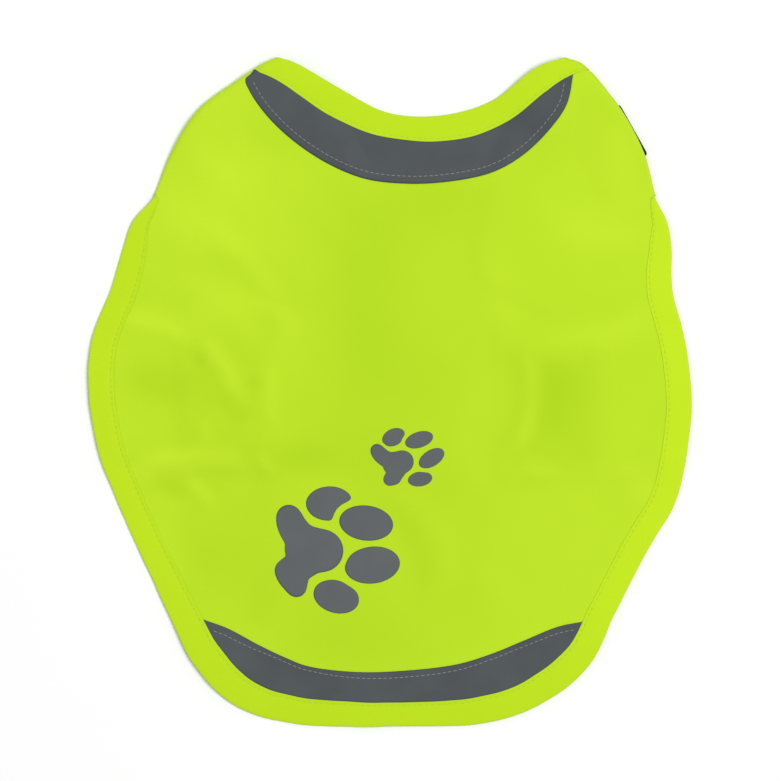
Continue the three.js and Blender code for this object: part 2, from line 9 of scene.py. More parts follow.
import bpy
import numpy as np
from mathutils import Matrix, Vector


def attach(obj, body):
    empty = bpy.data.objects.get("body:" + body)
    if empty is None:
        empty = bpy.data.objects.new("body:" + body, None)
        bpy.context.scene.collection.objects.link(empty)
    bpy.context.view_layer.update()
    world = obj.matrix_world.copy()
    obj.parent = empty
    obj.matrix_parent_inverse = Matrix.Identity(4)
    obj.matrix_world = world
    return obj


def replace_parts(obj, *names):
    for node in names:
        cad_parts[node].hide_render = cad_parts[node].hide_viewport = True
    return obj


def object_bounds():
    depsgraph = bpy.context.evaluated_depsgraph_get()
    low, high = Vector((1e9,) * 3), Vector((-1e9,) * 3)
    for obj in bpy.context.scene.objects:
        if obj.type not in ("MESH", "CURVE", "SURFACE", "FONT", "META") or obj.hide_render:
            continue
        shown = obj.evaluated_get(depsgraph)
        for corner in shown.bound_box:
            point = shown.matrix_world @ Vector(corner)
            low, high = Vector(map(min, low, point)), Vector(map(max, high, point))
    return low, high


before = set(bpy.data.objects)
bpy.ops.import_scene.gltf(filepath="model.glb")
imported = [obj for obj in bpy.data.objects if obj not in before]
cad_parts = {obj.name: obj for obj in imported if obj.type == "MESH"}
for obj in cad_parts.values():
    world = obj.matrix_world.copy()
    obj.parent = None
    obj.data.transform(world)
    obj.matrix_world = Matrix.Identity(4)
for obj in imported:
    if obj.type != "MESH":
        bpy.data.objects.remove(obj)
cad_low, cad_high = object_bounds()

MM = 0.001
SIDES = ("left", "right")
OUT = {"left": -1, "right": 1}  # the way out of each side along X
COLUMN = {"left": 0, "right": -1}  # each side's column in the panel's grid
UP = np.array([0.0, 0.0, 1.0])

# --- sizes of the cloth

CLOTH = 0.5  # thickness of the cloth
BIAS = 0.45  # thickness of one leg of the binding
TAPE = 0.24  # thickness of the reflective tape
PATCH = 1.1  # thickness of the hook and loop patches
SLIP = 0.06  # air between two layers
BINDING_WIDTH = 14
STRAP_BINDING = 9  # narrower tape on the ends and sides of the straps
EDGE_INSET = BIAS + SLIP  # the cloth stops this far inside the binding's outer edge
UNDER_LEG = EDGE_INSET  # a bound edge lies this high, over the binding's lower leg
BOUND_LAYER = 2 * BIAS + 2 * SLIP + CLOTH  # a bound strap edge in full
LEG = CLOTH / 2 + SLIP / 2  # from the middle of the cloth to a leg of its binding

# The folds at the shoulders. Shares are of a fold's length, from the neck.
FOLD_HEIGHT = 5.6  # underside of the panel at a fold
FOLD_END_HEIGHT = 2.2  # the same at the fold's lower end
FOLD_DROP = 0.6  # share where it starts to come down
FOLD_BLEND = 0.8  # share where the edge starts to move out to the body binding
FOLD_SEAM = 0.15  # air between a fold's lower end and the body binding
SLIDE_RUN = 60  # length in which the turning cloth slides along the fold
CORNER_ROUND = 0.7  # how far the neck corners are rounded in, over a run of edge
CORNER_RUN = 9
TUCK = 18  # depth of the place below a fold where the neck binding ends
STRAP_START = 3  # a strap starts this far inside the outline, under its fold
TUCKED = 0.17  # share of a neck strap's length that the neck binding runs along
STRAP_END_BOUND = 0.05  # share of it where the strap's own binding ends, on the other side

# The bindings' widths.
NARROW_START = 2.2  # width of the body binding as it comes out from under a fold
NARROW_RUN = 52  # edge length over which it gets its full width
NARROW_POWER = 2.2  # the higher, the sooner it does
EDGE_WOBBLE = 0.2  # slow waves of its outer edge
NECK_NARROW = {"left": 2.1, "right": 4.4}  # the neck binding narrows by this where it goes round a fold
NECK_NARROW_RUN = 19  # edge length over which it does
FAN_RUN = 17  # edge length in which its stations swing round to the fold
# Where a binding is wider or narrower than elsewhere: a place on the edge, the extra width, half its run.
WIDE_BODY = [((-102, -158), 3, 50), ((98, -162), 1.7, 33), ((54, -184), 0.7, 18), ((4, -186), -1, 26)]
WIDE_NECK = [((-27, 167.3), 1.7, 17), ((6, 153), -0.9, 12), ((42, 155), 0.6, 10)]

# Flat cuts: width, length and area. The panel's has both neck straps unfolded.
Cut = namedtuple("Cut", "width length area")

# --- outline of the laid vest

# Both sides of the outline, from the neck corners down. The folds end at FOLD_LEVEL.
Level = namedtuple("Level", "y left right")
LEVELS = [Level(*row) for row in [
    (185.6, -62, 96.5), (181.2, -69.5, 105.5), (174.5, -80.5, 113), (156.5, -105.5, 127.5),
    (130.5, -122, 141.2), (108, -130.5, 146.6), (93, -143, 153.8), (80, -147.8, 155.8),
    (55, -155.2, 156.8), (30, -165, 163), (0, -167, 167), (-32, -162, 165), (-62, -151, 158),
    (-92, -137.5, 140.7), (-124, -122.5, 124.5), (-152, -108.5, 110.5),
]]
FOLD_LEVEL = 5
WAIST = 10  # the widest level
TAIL = [(93, -168), (60, -182.8), (4, -186), (-54, -184.3), (-85, -175)]
NECK = [(-62, 185.6), (-53.5, 182.2), (-27.5, 167.3), (-4, 155), (14, 152), (36, 153.8), (58, 161.5),
        (80, 178.3), (96.5, 185.6)]

# Free edges of the reflective crescents, from tip to tip.
NECK_TAPE = [(-77, 175.4), (-80, 172.4), (-77.4, 165.3), (-67.9, 152), (-53, 138.1), (-34, 125.7),
             (-14.6, 117.8), (7, 115), (31, 115.9), (56.4, 121.1), (73, 130.2), (88.1, 144.5),
             (97.9, 158.8), (101.7, 176.9)]
TAIL_TAPE = [(-103, -127), (-90, -131.8), (-72.5, -141.2), (-57.5, -148.3), (-46, -152.7), (-21, -155.9),
             (4, -155.6), (37, -151.8), (57, -145.7), (75, -138.3), (93.4, -130.8), (108, -127.8)]

# --- straps and patches

# A neck strap's end, the way it runs there, half its width, its first bend and its corners' radius.
NeckStrap = namedtuple("NeckStrap", "end along half lead corner")
NECK_STRAPS = {
    "left": NeckStrap((-36, 68), (0.65, -0.76), 28, (28, -8), 9),
    "right": NeckStrap((73, 58), (-0.5, -0.866), 27, (-20, -12), 9),
}
# A belly strap's two sides, its end and its corners' radius.
BellyStrap = namedtuple("BellyStrap", "top bottom tip corner")
BELLY_STRAPS = {"left": BellyStrap(40, -38, -66, 14), "right": BellyStrap(31, -42, 67, 17)}
# Hook patches lie on the floor. Loop patches lie on a strap, and their base is its thickness.
Patch = namedtuple("Patch", "x y width depth turn base")
PATCHES = {
    "hook_patch_neck": Patch(124.8, 139.3, 32, 24, -60.7, 0),
    "loop_patch_neck": Patch(-53, 88, 46, 24, -49.5, CLOTH),
    "hook_patch_belly": Patch(92, -6, 34, 50, 0, 0),
    "loop_patch_belly": Patch(-92, 0, 34, 50, 0, CLOTH),
}
UNDER_STRAP = ("hook_patch_neck", "hook_patch_belly")

# --- how the cloth lies

# Level up to a margin past the thing under it, then down to the floor over a run.
Drape = namedtuple("Drape", "margin run")
STRAP_OVER_PATCH = Drape(3, 9)
STRAP_OVER_TUCK = Drape(3, 14)
STRAP_OVER_RIM = Drape(STRAP_BINDING, 8)
OVER_BINDING = Drape(BINDING_WIDTH, 16)
OVER_TUCK = Drape(2, 40)
OVER_FOLD = Drape(3, 42)
OVER_STRAP = Drape(1, 15)
OVER_PATCH = Drape(2, 20)
SHARPNESS = 4  # of the change from one thing under the cloth to the next

# Soft folds of the laid cloth: a line from a to b, its sideways bow, its height and half its width on
# the left and on the right of the line.
Crease = namedtuple("Crease", "ax ay bx by bow height left right")
CREASES = [Crease(*row) for row in [
    # the left side, over the tucked belly strap
    (-152, 41, -113, 28, 3, 1.0, 8, 6), (-105, 30, -84, -5, 2, 1.2, 7, 6),
    (-65, 12, -64, -19, -1, 0.7, 5, 6), (-144, -45, -106, -36, 1, 0.8, 7, 7),
    (-109, -36, -84, -37, 0, 0.8, 7, 6),
    (-104, -16, -101, -29, 0, 0.6, 5, 5), (-114, -50, -99, -64, 1, 0.8, 5, 5),
    (-73, -35, -64, -47, 0, 0.5, 3.5, 4), (-134, -50, -112, -55, 0, -0.6, 7, 7),
    (-147, 8, -112, 0, 0, -0.8, 12, 12), (-93, -4, -82, -18, 0, -0.7, 8, 6),
    (-80, 6, -73, 0, 0, -0.6, 6, 6), (-108, 20, -105, 12, 0, -0.6, 4, 4),
    (-132, -75, -116, -105, 2, 0.5, 8, 7),
    # the left shoulder, over the folded neck strap
    (-125, 100, -70, 76, -3, 0.5, 12, 10), (-72, 44, -66, 26, 1, -0.7, 7, 7),
    (-118, 62, -84, 44, 3, 0.4, 10, 8), (-112, 132, -84, 112, 2, 0.4, 9, 9),
    # the right side
    (76, 20, 69, -34, 6, 1.0, 6, 5), (77, 24, 150, 46, -5, 0.6, 8, 11),
    (88, 14, 88, -26, 0, -0.5, 12, 14), (74, -41, 92, -46, -1, 0.5, 5, 5),
    (126, -44, 146, -60, 2, 0.5, 9, 9), (40, -20, 52, -56, -2, 0.3, 9, 9),
    # the right shoulder
    (92, 92, 138, 84, -2, 0.5, 10, 10), (120, 148, 132, 104, 3, 0.5, 8, 9),
    (58, 84, 64, 34, -2, 0.35, 12, 10),
    # the middle
    (-10, 96, -16, -6, -4, -0.3, 26, 24), (-4, -62, 18, -118, 9, -0.45, 9, 7),
    (12, -58, 32, -112, 8, 0.3, 8, 8), (-68, -98, -78, -132, 2, -0.4, 10, 9),
    (48, -96, 70, -122, 2, 0.3, 11, 11),
]]
CREASE_START = 0.15  # a crease starts this share of its length before its line and ends as far past it
CREASE_FADE = 0.4  # share of its length over which it fades in and out
CREST_HIGHLIGHT = 0.34  # painted highlight: how much paler a crest is for each millimetre of its height
HOLLOW_SHADE = 0.4  # painted shade: how much darker it is beside it, as a share of that
HOLLOW_WIDTH = 2.4  # in widths of the crest
# Painted shade where a black patch shows through the cloth: how much darker the cloth is over it.
SHOW_THROUGH = {"hook_patch_belly": 0.16, "loop_patch_belly": 0.1, "loop_patch_neck": 0.05}
SHOW_FADE = 16  # that fades out over this distance
# Broad soft patches of painted light and shade: middle, half width, half height and amount.
PAINTED_LIGHT_PATCHES = [
    (-84, 104, 44, 46, 0.28), (96, 108, 44, 44, 0.08), (10, -30, 66, 120, -0.24),
    (10, 100, 60, 24, -0.16), (-14, 60, 24, 70, -0.1), (-128, 4, 30, 20, -0.16), (98, -6, 22, 24, -0.24),
    (-50, -37, 18, 9, -0.26), (-120, -53, 9, 6, -0.14), (-88, -95, 34, 30, -0.24),
    (-26, -136, 54, 26, -0.19), (-98, 66, 16, 10, -0.1), (-60, 138, 22, 20, -0.15),
    (84, 134, 16, 14, -0.22), (38, 112, 24, 14, -0.08), (118, 158, 16, 16, -0.1),
    (-14, -34, 26, 16, -0.1), (-72, -62, 14, 14, -0.1), (62, -8, 20, 24, 0.09),
]
# Places where the edge stands off the floor: x, y, height and reach.
LIFTS = [(-167, -5, 1.6, 62), (-112, -152, 1.8, 58), (168, -12, 1.7, 60), (116, -140, 1.2, 52),
         (14, 152, 1.2, 46)]
# The cloth is never quite level: directions of slow waves in degrees, their heights, lengths and phases.
WAVES = [(17, 0.16, 83, 0.4), (104, 0.13, 61, 2.1), (61, 0.08, 47, 4.0), (148, 0.04, 29, 1.2)]
WAVE_BASE = 0.3  # how high the cloth lies on the whole
STILL_EDGE = 30  # creases are flatter within this distance of a bound edge
EDGE_CREASE = 0.35  # share of a crease's height that is left at the edge

# Mesh counts.
ACROSS = 150  # columns of the panel
FOLD_ROWS = 46
BAND_ROWS = 10  # rows of the fold inside the neck binding
SIDE_ROWS = 116
ROLL_STEPS = 12
STRAP_STEPS = 34
BELLY_ROWS = 41
BELLY_COLUMNS = 45
BODY_STATIONS = 640  # stations are the places along a binding or a tape
NECK_STATIONS = 110
FAN_STATIONS = 20
UNDER_STEPS = 7  # stations of the neck binding on the folded strap
RIM_STEP = 1.6  # from one station on a strap's binding to the next
# Points that a strap's free edge is drawn through: a side and the end of a neck strap, a corner and a
# side of a belly strap.
RIM_SIDE, RIM_TIP, RIM_CORNER, RIM_STRAIGHT = 27, 19, 7, 5
RIM_SHARE = 0.85  # share of a belly strap's side with points, which leaves the corner free
TAPE_STATIONS = 240
TAPE_ROWS = 19
SEAM_STATIONS = 320
# How many points stand for a line where something is measured along it or from it.
EDGE_SAMPLES = 3000
FOLD_SAMPLES = 65
ROOT_SAMPLES = 200
NECK_SAMPLES = 60
BODY_SAMPLES = 260
STRAP_SAMPLES = 9
RIM_SKIP = 12  # a strap's free edge gives every twelfth of its own points


# --- curves on the floor

def ease(t):
    t = np.clip(t, 0, 1)
    return t * t * (3 - 2 * t)


def mix(a, b, t):
    return a + (b - a) * t


def unit(v):
    return v / np.maximum(np.linalg.norm(v, axis=-1, keepdims=True), 1e-12)


def waves(s, rows):
    return sum(height * np.sin(2 * np.pi * s / length + phase) for height, length, phase in rows)


def left_of(v):
    """Flat directions turned a quarter anticlockwise."""
    return np.stack([-v[..., 1], v[..., 0]], -1)


def rotation(degrees):
    """The directions that a turned shape has for x and for y."""
    along = np.array([math.cos(math.radians(degrees)), math.sin(math.radians(degrees))])
    return np.array([along, left_of(along)])


def lengths_along(line):
    """The length of a chain of points as far as each one."""
    return np.concatenate([[0], np.cumsum(np.linalg.norm(np.diff(line, axis=0), axis=1))])


def points_at(line, lengths, wanted):
    """Places on a chain of points, or values that go with them, at the wanted lengths."""
    return np.stack([np.interp(wanted, lengths, column) for column in line.T], -1)


def nearest_row(points, target):
    return np.argmin(np.hypot(*(points - target).T))


def curve_through(points, steps=30):
    """A centripetal Catmull-Rom curve through the points, in short steps."""
    points = np.asarray(points, float)
    ghosts = np.vstack([2 * points[0] - points[1], points, 2 * points[-1] - points[-2]])
    t = np.linspace(0, 1, steps, endpoint=False)[:, None]
    runs = []
    for a, b, c, d in zip(ghosts, ghosts[1:], ghosts[2:], ghosts[3:]):
        ab, bc, cd = (math.sqrt(np.linalg.norm(q - p)) for p, q in ((a, b), (b, c), (c, d)))
        leave = bc * ((b - a) / ab - (c - a) / (ab + bc) + (c - b) / bc)
        reach = bc * ((c - b) / bc - (d - b) / (bc + cd) + (d - c) / cd)
        runs.append((2 * t**3 - 3 * t**2 + 1) * b + (t**3 - 2 * t**2 + t) * leave
                    + (3 * t**2 - 2 * t**3) * c + (t**3 - t**2) * reach)
    return np.vstack(runs + [points[-1:]])


class Edge:
    """A flat curve walked clockwise by its length, so that the cloth lies on its right."""

    def __init__(self, points):
        self.points = curve_through(points)
        self.lengths = lengths_along(self.points)
        self.length = self.lengths[-1]

    def place(self, s):
        """Points at the lengths s, straight on past both ends, and the ways into the cloth."""
        s = np.asarray(s, float)
        inside = np.clip(s, 0, self.length)
        places = (np.clip(inside + step, 0, self.length) for step in (0, 1, -1))
        point, ahead, behind = (points_at(self.points, self.lengths, place) for place in places)
        run = unit(ahead - behind)
        return point + run * (s - inside)[..., None], -left_of(run)

    def inset(self, s, depth):
        point, inward = self.place(s)
        return point + inward * np.asarray(depth, float)[..., None]

    def nearest(self, targets):
        """The lengths at which the curve, or its run past an end, is nearest to the targets."""
        s = np.linspace(-BINDING_WIDTH, self.length + BINDING_WIDTH, EDGE_SAMPLES)
        point, _ = self.place(s)
        return np.array([s[nearest_row(point, target)] for target in np.atleast_2d(targets)])


neck_edge = Edge(NECK)
body_edge = Edge([(level.right, level.y) for level in LEVELS] + TAIL
                 + [(level.left, level.y) for level in reversed(LEVELS)])
neck_end = {"left": 0, "right": neck_edge.length}


def on_side(side, s):
    """Lengths on the body edge for lengths s along one side, from its neck corner."""
    s = np.asarray(s, float)
    return s if side == "right" else body_edge.length - s


def level_length(side, index):
    level = LEVELS[index]
    return float(on_side(side, body_edge.nearest((getattr(level, side), level.y))[0]))


fold_length = {side: level_length(side, FOLD_LEVEL) for side in SIDES}
side_length = {side: level_length(side, -1) for side in SIDES}


# --- distances

def to_line(xy, line):
    """Distance from each point to a chain of points."""
    best = np.full(len(xy), np.inf)
    for a, b in zip(line, line[1:]):
        run = b - a
        share = np.clip(((xy - a) @ run) / max(run @ run, 1e-12), 0, 1)
        best = np.minimum(best, np.hypot(*(xy - a - share[:, None] * run).T))
    return best


def to_patch(xy, outline):
    """Distance from each point to a closed outline, and 0 inside it."""
    outline = np.asarray(outline, float)
    x, y = xy.T
    inside = np.zeros(len(xy), bool)
    for a, b in zip(outline, np.roll(outline, -1, axis=0)):
        crosses = (a[1] > y) != (b[1] > y)
        with np.errstate(divide="ignore", invalid="ignore"):
            at = a[0] + (b[0] - a[0]) * (y - a[1]) / (b[1] - a[1])
        inside ^= crosses & (x < at)
    return np.where(inside, 0, to_line(xy, np.vstack([outline, outline[:1]])))


# --- straps on the floor

def corner_cut(from_side, radius):
    """How far a round corner stays back from a strap's end, by the distance from the strap's side."""
    near = np.clip(from_side / radius, 0, 1)
    return radius * (1 - np.sqrt(1 - (1 - near) ** 2))


def strap_grid(side, across, along):
    """Flat places of a neck strap, for shares across it from the neck side and shares along it."""
    strap = NECK_STRAPS[side]
    share = np.asarray(across, float)[:, None, None]
    way = np.array(strap.along)
    start = body_edge.inset(on_side(side, share[..., 0] * fold_length[side]), STRAP_START)
    finish = strap.end + mix(-strap.half, strap.half, share) * OUT[side] * left_of(way)
    finish = finish - way * corner_cut(np.minimum(share, 1 - share) * 2 * strap.half, strap.corner)
    bend = start + strap.lead
    t = np.asarray(along, float)[:, None]
    return (1 - t) ** 2 * start + 2 * t * (1 - t) * bend + t**2 * finish


def strap_outline(side):
    t = np.linspace(0, 1, STRAP_SAMPLES)
    grid = strap_grid(side, t, t)
    return np.vstack([grid[0], grid[:, -1], grid[-1, ::-1], grid[::-1, 0]])


def belly_root(side):
    """The sewn end of a belly strap, just inside the body binding, from top to bottom."""
    strap = BELLY_STRAPS[side]
    y = np.linspace(strap.top, strap.bottom, BELLY_ROWS)
    x = np.full(len(y), OUT[side] * LEVELS[WAIST].right)
    return body_edge.inset(body_edge.nearest(np.stack([x, y], -1)), BINDING_WIDTH + 0.5)


belly_roots = {side: belly_root(side) for side in SIDES}


def neck_strap_rim(side):
    """The free edge of a neck strap round its end, clockwise as seen from above."""
    closer = np.sin(np.linspace(0, np.pi / 2, RIM_SIDE))
    sweep = (0.5 - 0.5 * np.cos(np.linspace(0, np.pi, RIM_TIP)))[1:-1]
    rim = np.vstack([strap_grid(side, [0], mix(TUCKED, 1, closer))[0], strap_grid(side, sweep, [1])[:, 0],
                     strap_grid(side, [1], mix(STRAP_END_BOUND, 1, closer[::-1]))[0]])
    return rim[::-OUT[side]]


def belly_strap_rim(side):
    """The free edge of a belly strap round its end, clockwise as seen from above."""
    strap = BELLY_STRAPS[side]
    turn = np.linspace(0, np.pi / 2, RIM_CORNER)[:, None]
    centre = np.array([strap.tip + OUT[side] * strap.corner, 0])
    arc = np.hstack([-OUT[side] * np.sin(turn), np.cos(turn)]) * strap.corner
    top = centre + [0, strap.top - strap.corner] + arc
    low = centre + [0, strap.bottom + strap.corner] + (arc * [1, -1])[::-1]
    out = np.linspace(0, RIM_SHARE, RIM_STRAIGHT)[:, None]
    roots = belly_roots[side]
    rim = np.vstack([mix(roots[0], top[0], out), top, low, mix(low[-1], roots[-1], out + 1 - RIM_SHARE)])
    return rim[::-OUT[side]]


strap_rims = {f"neck_strap_{side}": Edge(neck_strap_rim(side)) for side in SIDES}
strap_rims |= {f"belly_strap_{side}": Edge(belly_strap_rim(side)) for side in SIDES}


# --- heights

def over(distance, height, drape):
    return height * ease(1 - (distance - drape.margin) / drape.run)


def over_all(xy, outlines, height, drape):
    """The heights of a cloth over each of the outlines."""
    return [over(to_patch(xy, outline), height, drape) for outline in outlines]


def most(values):
    """A soft largest value."""
    return sum(np.maximum(value, 0) ** SHARPNESS for value in values) ** (1 / SHARPNESS)


def patch_outline(patch):
    corners = np.array([(-1, -1), (1, -1), (1, 1), (-1, 1)]) * (patch.width / 2, patch.depth / 2)
    return corners @ rotation(patch.turn) + (patch.x, patch.y)


def tuck_zone(side):
    """Where the neck binding is tucked under the fold."""
    ends = on_side(side, [0, BINDING_WIDTH])
    outer, inner = body_edge.inset(ends, 0), body_edge.inset(ends, TUCK)
    return [outer[0], outer[1], inner[1], inner[0]]


patch_outlines = {name: patch_outline(patch) for name, patch in PATCHES.items()}
tuck_zones = [tuck_zone(side) for side in SIDES]


def strap_height(xy):
    """Underside of a folded neck strap or of a belly strap."""
    lifts = over_all(xy, [patch_outlines[name] for name in UNDER_STRAP], PATCH + SLIP, STRAP_OVER_PATCH)
    lifts += over_all(xy, tuck_zones, 2 * UNDER_LEG, STRAP_OVER_TUCK)
    for rim in strap_rims.values():
        lifts.append(over(to_line(xy, rim.points[::RIM_SKIP]), UNDER_LEG, STRAP_OVER_RIM))
    return SLIP + np.max(lifts, axis=0)


def fold_height(share):
    return mix(FOLD_HEIGHT, FOLD_END_HEIGHT, ease((share - FOLD_DROP) / (1 - FOLD_DROP)))


def rounding(to_corner):
    """How far an edge near a neck corner is rounded in."""
    return CORNER_ROUND * (1 - np.clip(to_corner / CORNER_RUN, 0, 1)) ** 2


def fold_inset(side, s):
    """How far inside the outline the cloth starts to turn under."""
    rest, _ = body_edge.place(on_side(side, s))
    roll = (fold_height(s / fold_length[side]) - strap_height(rest)) / 2 + CLOTH / 2
    return roll + EDGE_INSET * ease((BINDING_WIDTH + 2 - s) / 2) + rounding(s)


def edge_inset(side, s):
    share = np.minimum(s / fold_length[side], 1)
    inside = fold_inset(side, share * fold_length[side])
    return mix(inside, EDGE_INSET, ease((share - FOLD_BLEND) / (1 - FOLD_BLEND)))


def neck_inset(s):
    return EDGE_INSET + rounding(np.minimum(s, neck_edge.length - s))


strap_outlines = [strap_outline(side) for side in SIDES]
belly_outlines = [np.vstack([belly_roots[side][::5], [(strap.tip, strap.bottom), (strap.tip, strap.top)]])
                  for side, strap in BELLY_STRAPS.items()]
fold_shares = np.linspace(0, 1, FOLD_SAMPLES)
fold_lines = {side: body_edge.place(on_side(side, fold_shares * fold_length[side]))[0] for side in SIDES}
neck_span = np.linspace(0, neck_edge.length, NECK_SAMPLES)
body_span = np.linspace(fold_length["right"], body_edge.length - fold_length["left"], BODY_SAMPLES)
bound_line = np.vstack([neck_edge.place(neck_span)[0], body_edge.place(body_span)[0]])


def crease_shape(xy, crease):
    """A soft crease's share of its height and the distance beside it, in widths, at each point."""
    a = np.array([crease.ax, crease.ay])
    run = np.array([crease.bx, crease.by]) - a
    length = np.hypot(*run)
    along = run / length
    t = ((xy - a) @ along) / length
    d = (xy - a) @ left_of(along) - crease.bow * 4 * t * (1 - t)
    fade = ease((t + CREASE_START) / CREASE_FADE) * ease((1 + CREASE_START - t) / CREASE_FADE)
    return fade, d / np.where(d > 0, crease.left, crease.right)


def crease_height(xy, crease):
    fade, d = crease_shape(xy, crease)
    return crease.height * fade * np.exp(-(d**2))


def painted_shading(xy):
    """Painted light and shade from -1 to 1: a painted highlight on the crests, painted shade in the
    hollows beside them and over the black patches that show through, and broad patches of painted light
    and shade.
    """
    total = np.zeros(len(xy))
    for crease in CREASES:
        fade, d = crease_shape(xy, crease)
        hollow_shade = HOLLOW_SHADE * np.exp(-((d / HOLLOW_WIDTH) ** 2))
        total += CREST_HIGHLIGHT * crease.height * fade * (np.exp(-(d**2)) - hollow_shade)
    for name, amount in SHOW_THROUGH.items():
        total -= amount * ease(1 - to_patch(xy, patch_outlines[name]) / SHOW_FADE)
    for x, y, wide, high, amount in PAINTED_LIGHT_PATCHES:
        total += amount * np.exp(-(((xy[:, 0] - x) / wide) ** 2) - ((xy[:, 1] - y) / high) ** 2)
    return np.clip(total, -1, 1)


def over_fold(xy, side):
    """The height of the panel over a shoulder fold, which is lower towards the fold's end."""
    gaps = np.hypot(*(xy[:, None] - fold_lines[side][None]).transpose(2, 0, 1))
    return over(gaps.min(axis=1), fold_height(fold_shares[np.argmin(gaps, axis=1)]), OVER_FOLD)


def slow_waves(xy):
    return np.maximum(WAVE_BASE + sum(waves(xy @ rotation(way)[0], [wave]) for way, *wave in WAVES), 0)


def panel_height(xy):
    """Underside of the back panel over the floor."""
    to_edge = to_line(xy, bound_line)
    lie = [over_fold(xy, side) for side in SIDES] + [over(to_edge, UNDER_LEG, OVER_BINDING)]
    lie += over_all(xy, tuck_zones, FOLD_HEIGHT, OVER_TUCK)
    lie += over_all(xy, strap_outlines + belly_outlines, BOUND_LAYER, OVER_STRAP)
    lie += over_all(xy, patch_outlines.values(), BOUND_LAYER + PATCH, OVER_PATCH)
    lifts = [over(np.hypot(*(xy - (x, y)).T), height, Drape(0, reach)) for x, y, height, reach in LIFTS]
    creases = sum(crease_height(xy, crease) for crease in CREASES)
    creases *= mix(EDGE_CREASE, 1, ease(to_edge / STILL_EDGE))
    return np.maximum(most(lie) + creases + most(lifts) + slow_waves(xy), SLIP)


def laid(xy, height=panel_height, lift=CLOTH / 2):
    """Points on the middle of a cloth that lies as the height says."""
    flat = np.asarray(xy, float).reshape(-1, 2)
    return np.column_stack([flat, height(flat) + lift]).reshape(*np.shape(xy)[:-1], 3)


# --- sheets and meshes

def numbered(points):
    """Point numbers of a grid of points."""
    rows, columns = points.shape[:2]
    return np.arange(rows * columns).reshape(rows, columns)


def grid_faces(index):
    """Quads of a grid of point numbers, facing up where rows run down and columns run right."""
    a, b, c, d = index[:-1, :-1], index[1:, :-1], index[1:, 1:], index[:-1, 1:]
    return np.stack([a, b, c, d], -1).reshape(-1, 4)


def round_faces(index):
    """Quads of a grid of point numbers whose last column lies next to its first."""
    return grid_faces(np.column_stack([index, index[:, 0]]))


def sheet_normals(points, quads):
    p = points[quads]
    face = np.cross(p[:, 2] - p[:, 0], p[:, 3] - p[:, 1])
    total = np.zeros_like(points)
    for corner in range(4):
        np.add.at(total, quads[:, corner], face)
    return unit(total)


def grid_normals(grid):
    return sheet_normals(grid.reshape(-1, 3), grid_faces(numbered(grid))).reshape(grid.shape)


def wall(points, quads, thickness):
    """A closed wall round a sheet of quads."""
    points = points.reshape(-1, 3)
    normals = sheet_normals(points, quads)
    count = len(points)
    both = np.vstack([points + normals * thickness / 2, points - normals * thickness / 2])
    pairs = dict.fromkeys((a, b) for quad in quads.tolist() for a, b in zip(quad, quad[1:] + quad[:1]))
    rim = [[b, a, count + a, count + b] for a, b in pairs if (b, a) not in pairs]
    return both, np.vstack([quads, quads[:, ::-1] + count, rim]).tolist()


def make_piece(name, points, faces, material, slot, painted_shadings=None):
    """A mesh piece from points in millimetres, with a value of painted light and shade at each point."""
    mesh = bpy.data.meshes.new(name)
    mesh.from_pydata((points.reshape(-1, 3) * MM).tolist(), [], faces)
    if painted_shadings is not None:
        mesh.attributes.new("painted_shading", "FLOAT", "POINT").data.foreach_set("value", painted_shadings)
    mesh.materials.append(material)
    mesh.shade_smooth()
    piece = bpy.data.objects.new(name, mesh)
    bpy.context.scene.collection.objects.link(piece)
    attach(piece, "root")
    return piece


# --- materials

def srgb(red, green, blue):
    """A colour as seen, from 0 to 255, in linear values."""
    shares = (c / 255 for c in (red, green, blue))
    return (*(c / 12.92 if c <= 0.04045 else ((c + 0.055) / 1.055) ** 2.4 for c in shares), 1)


def times(colour, factor):
    return tuple(min(c * factor, 1) for c in colour[:3]) + (1,)


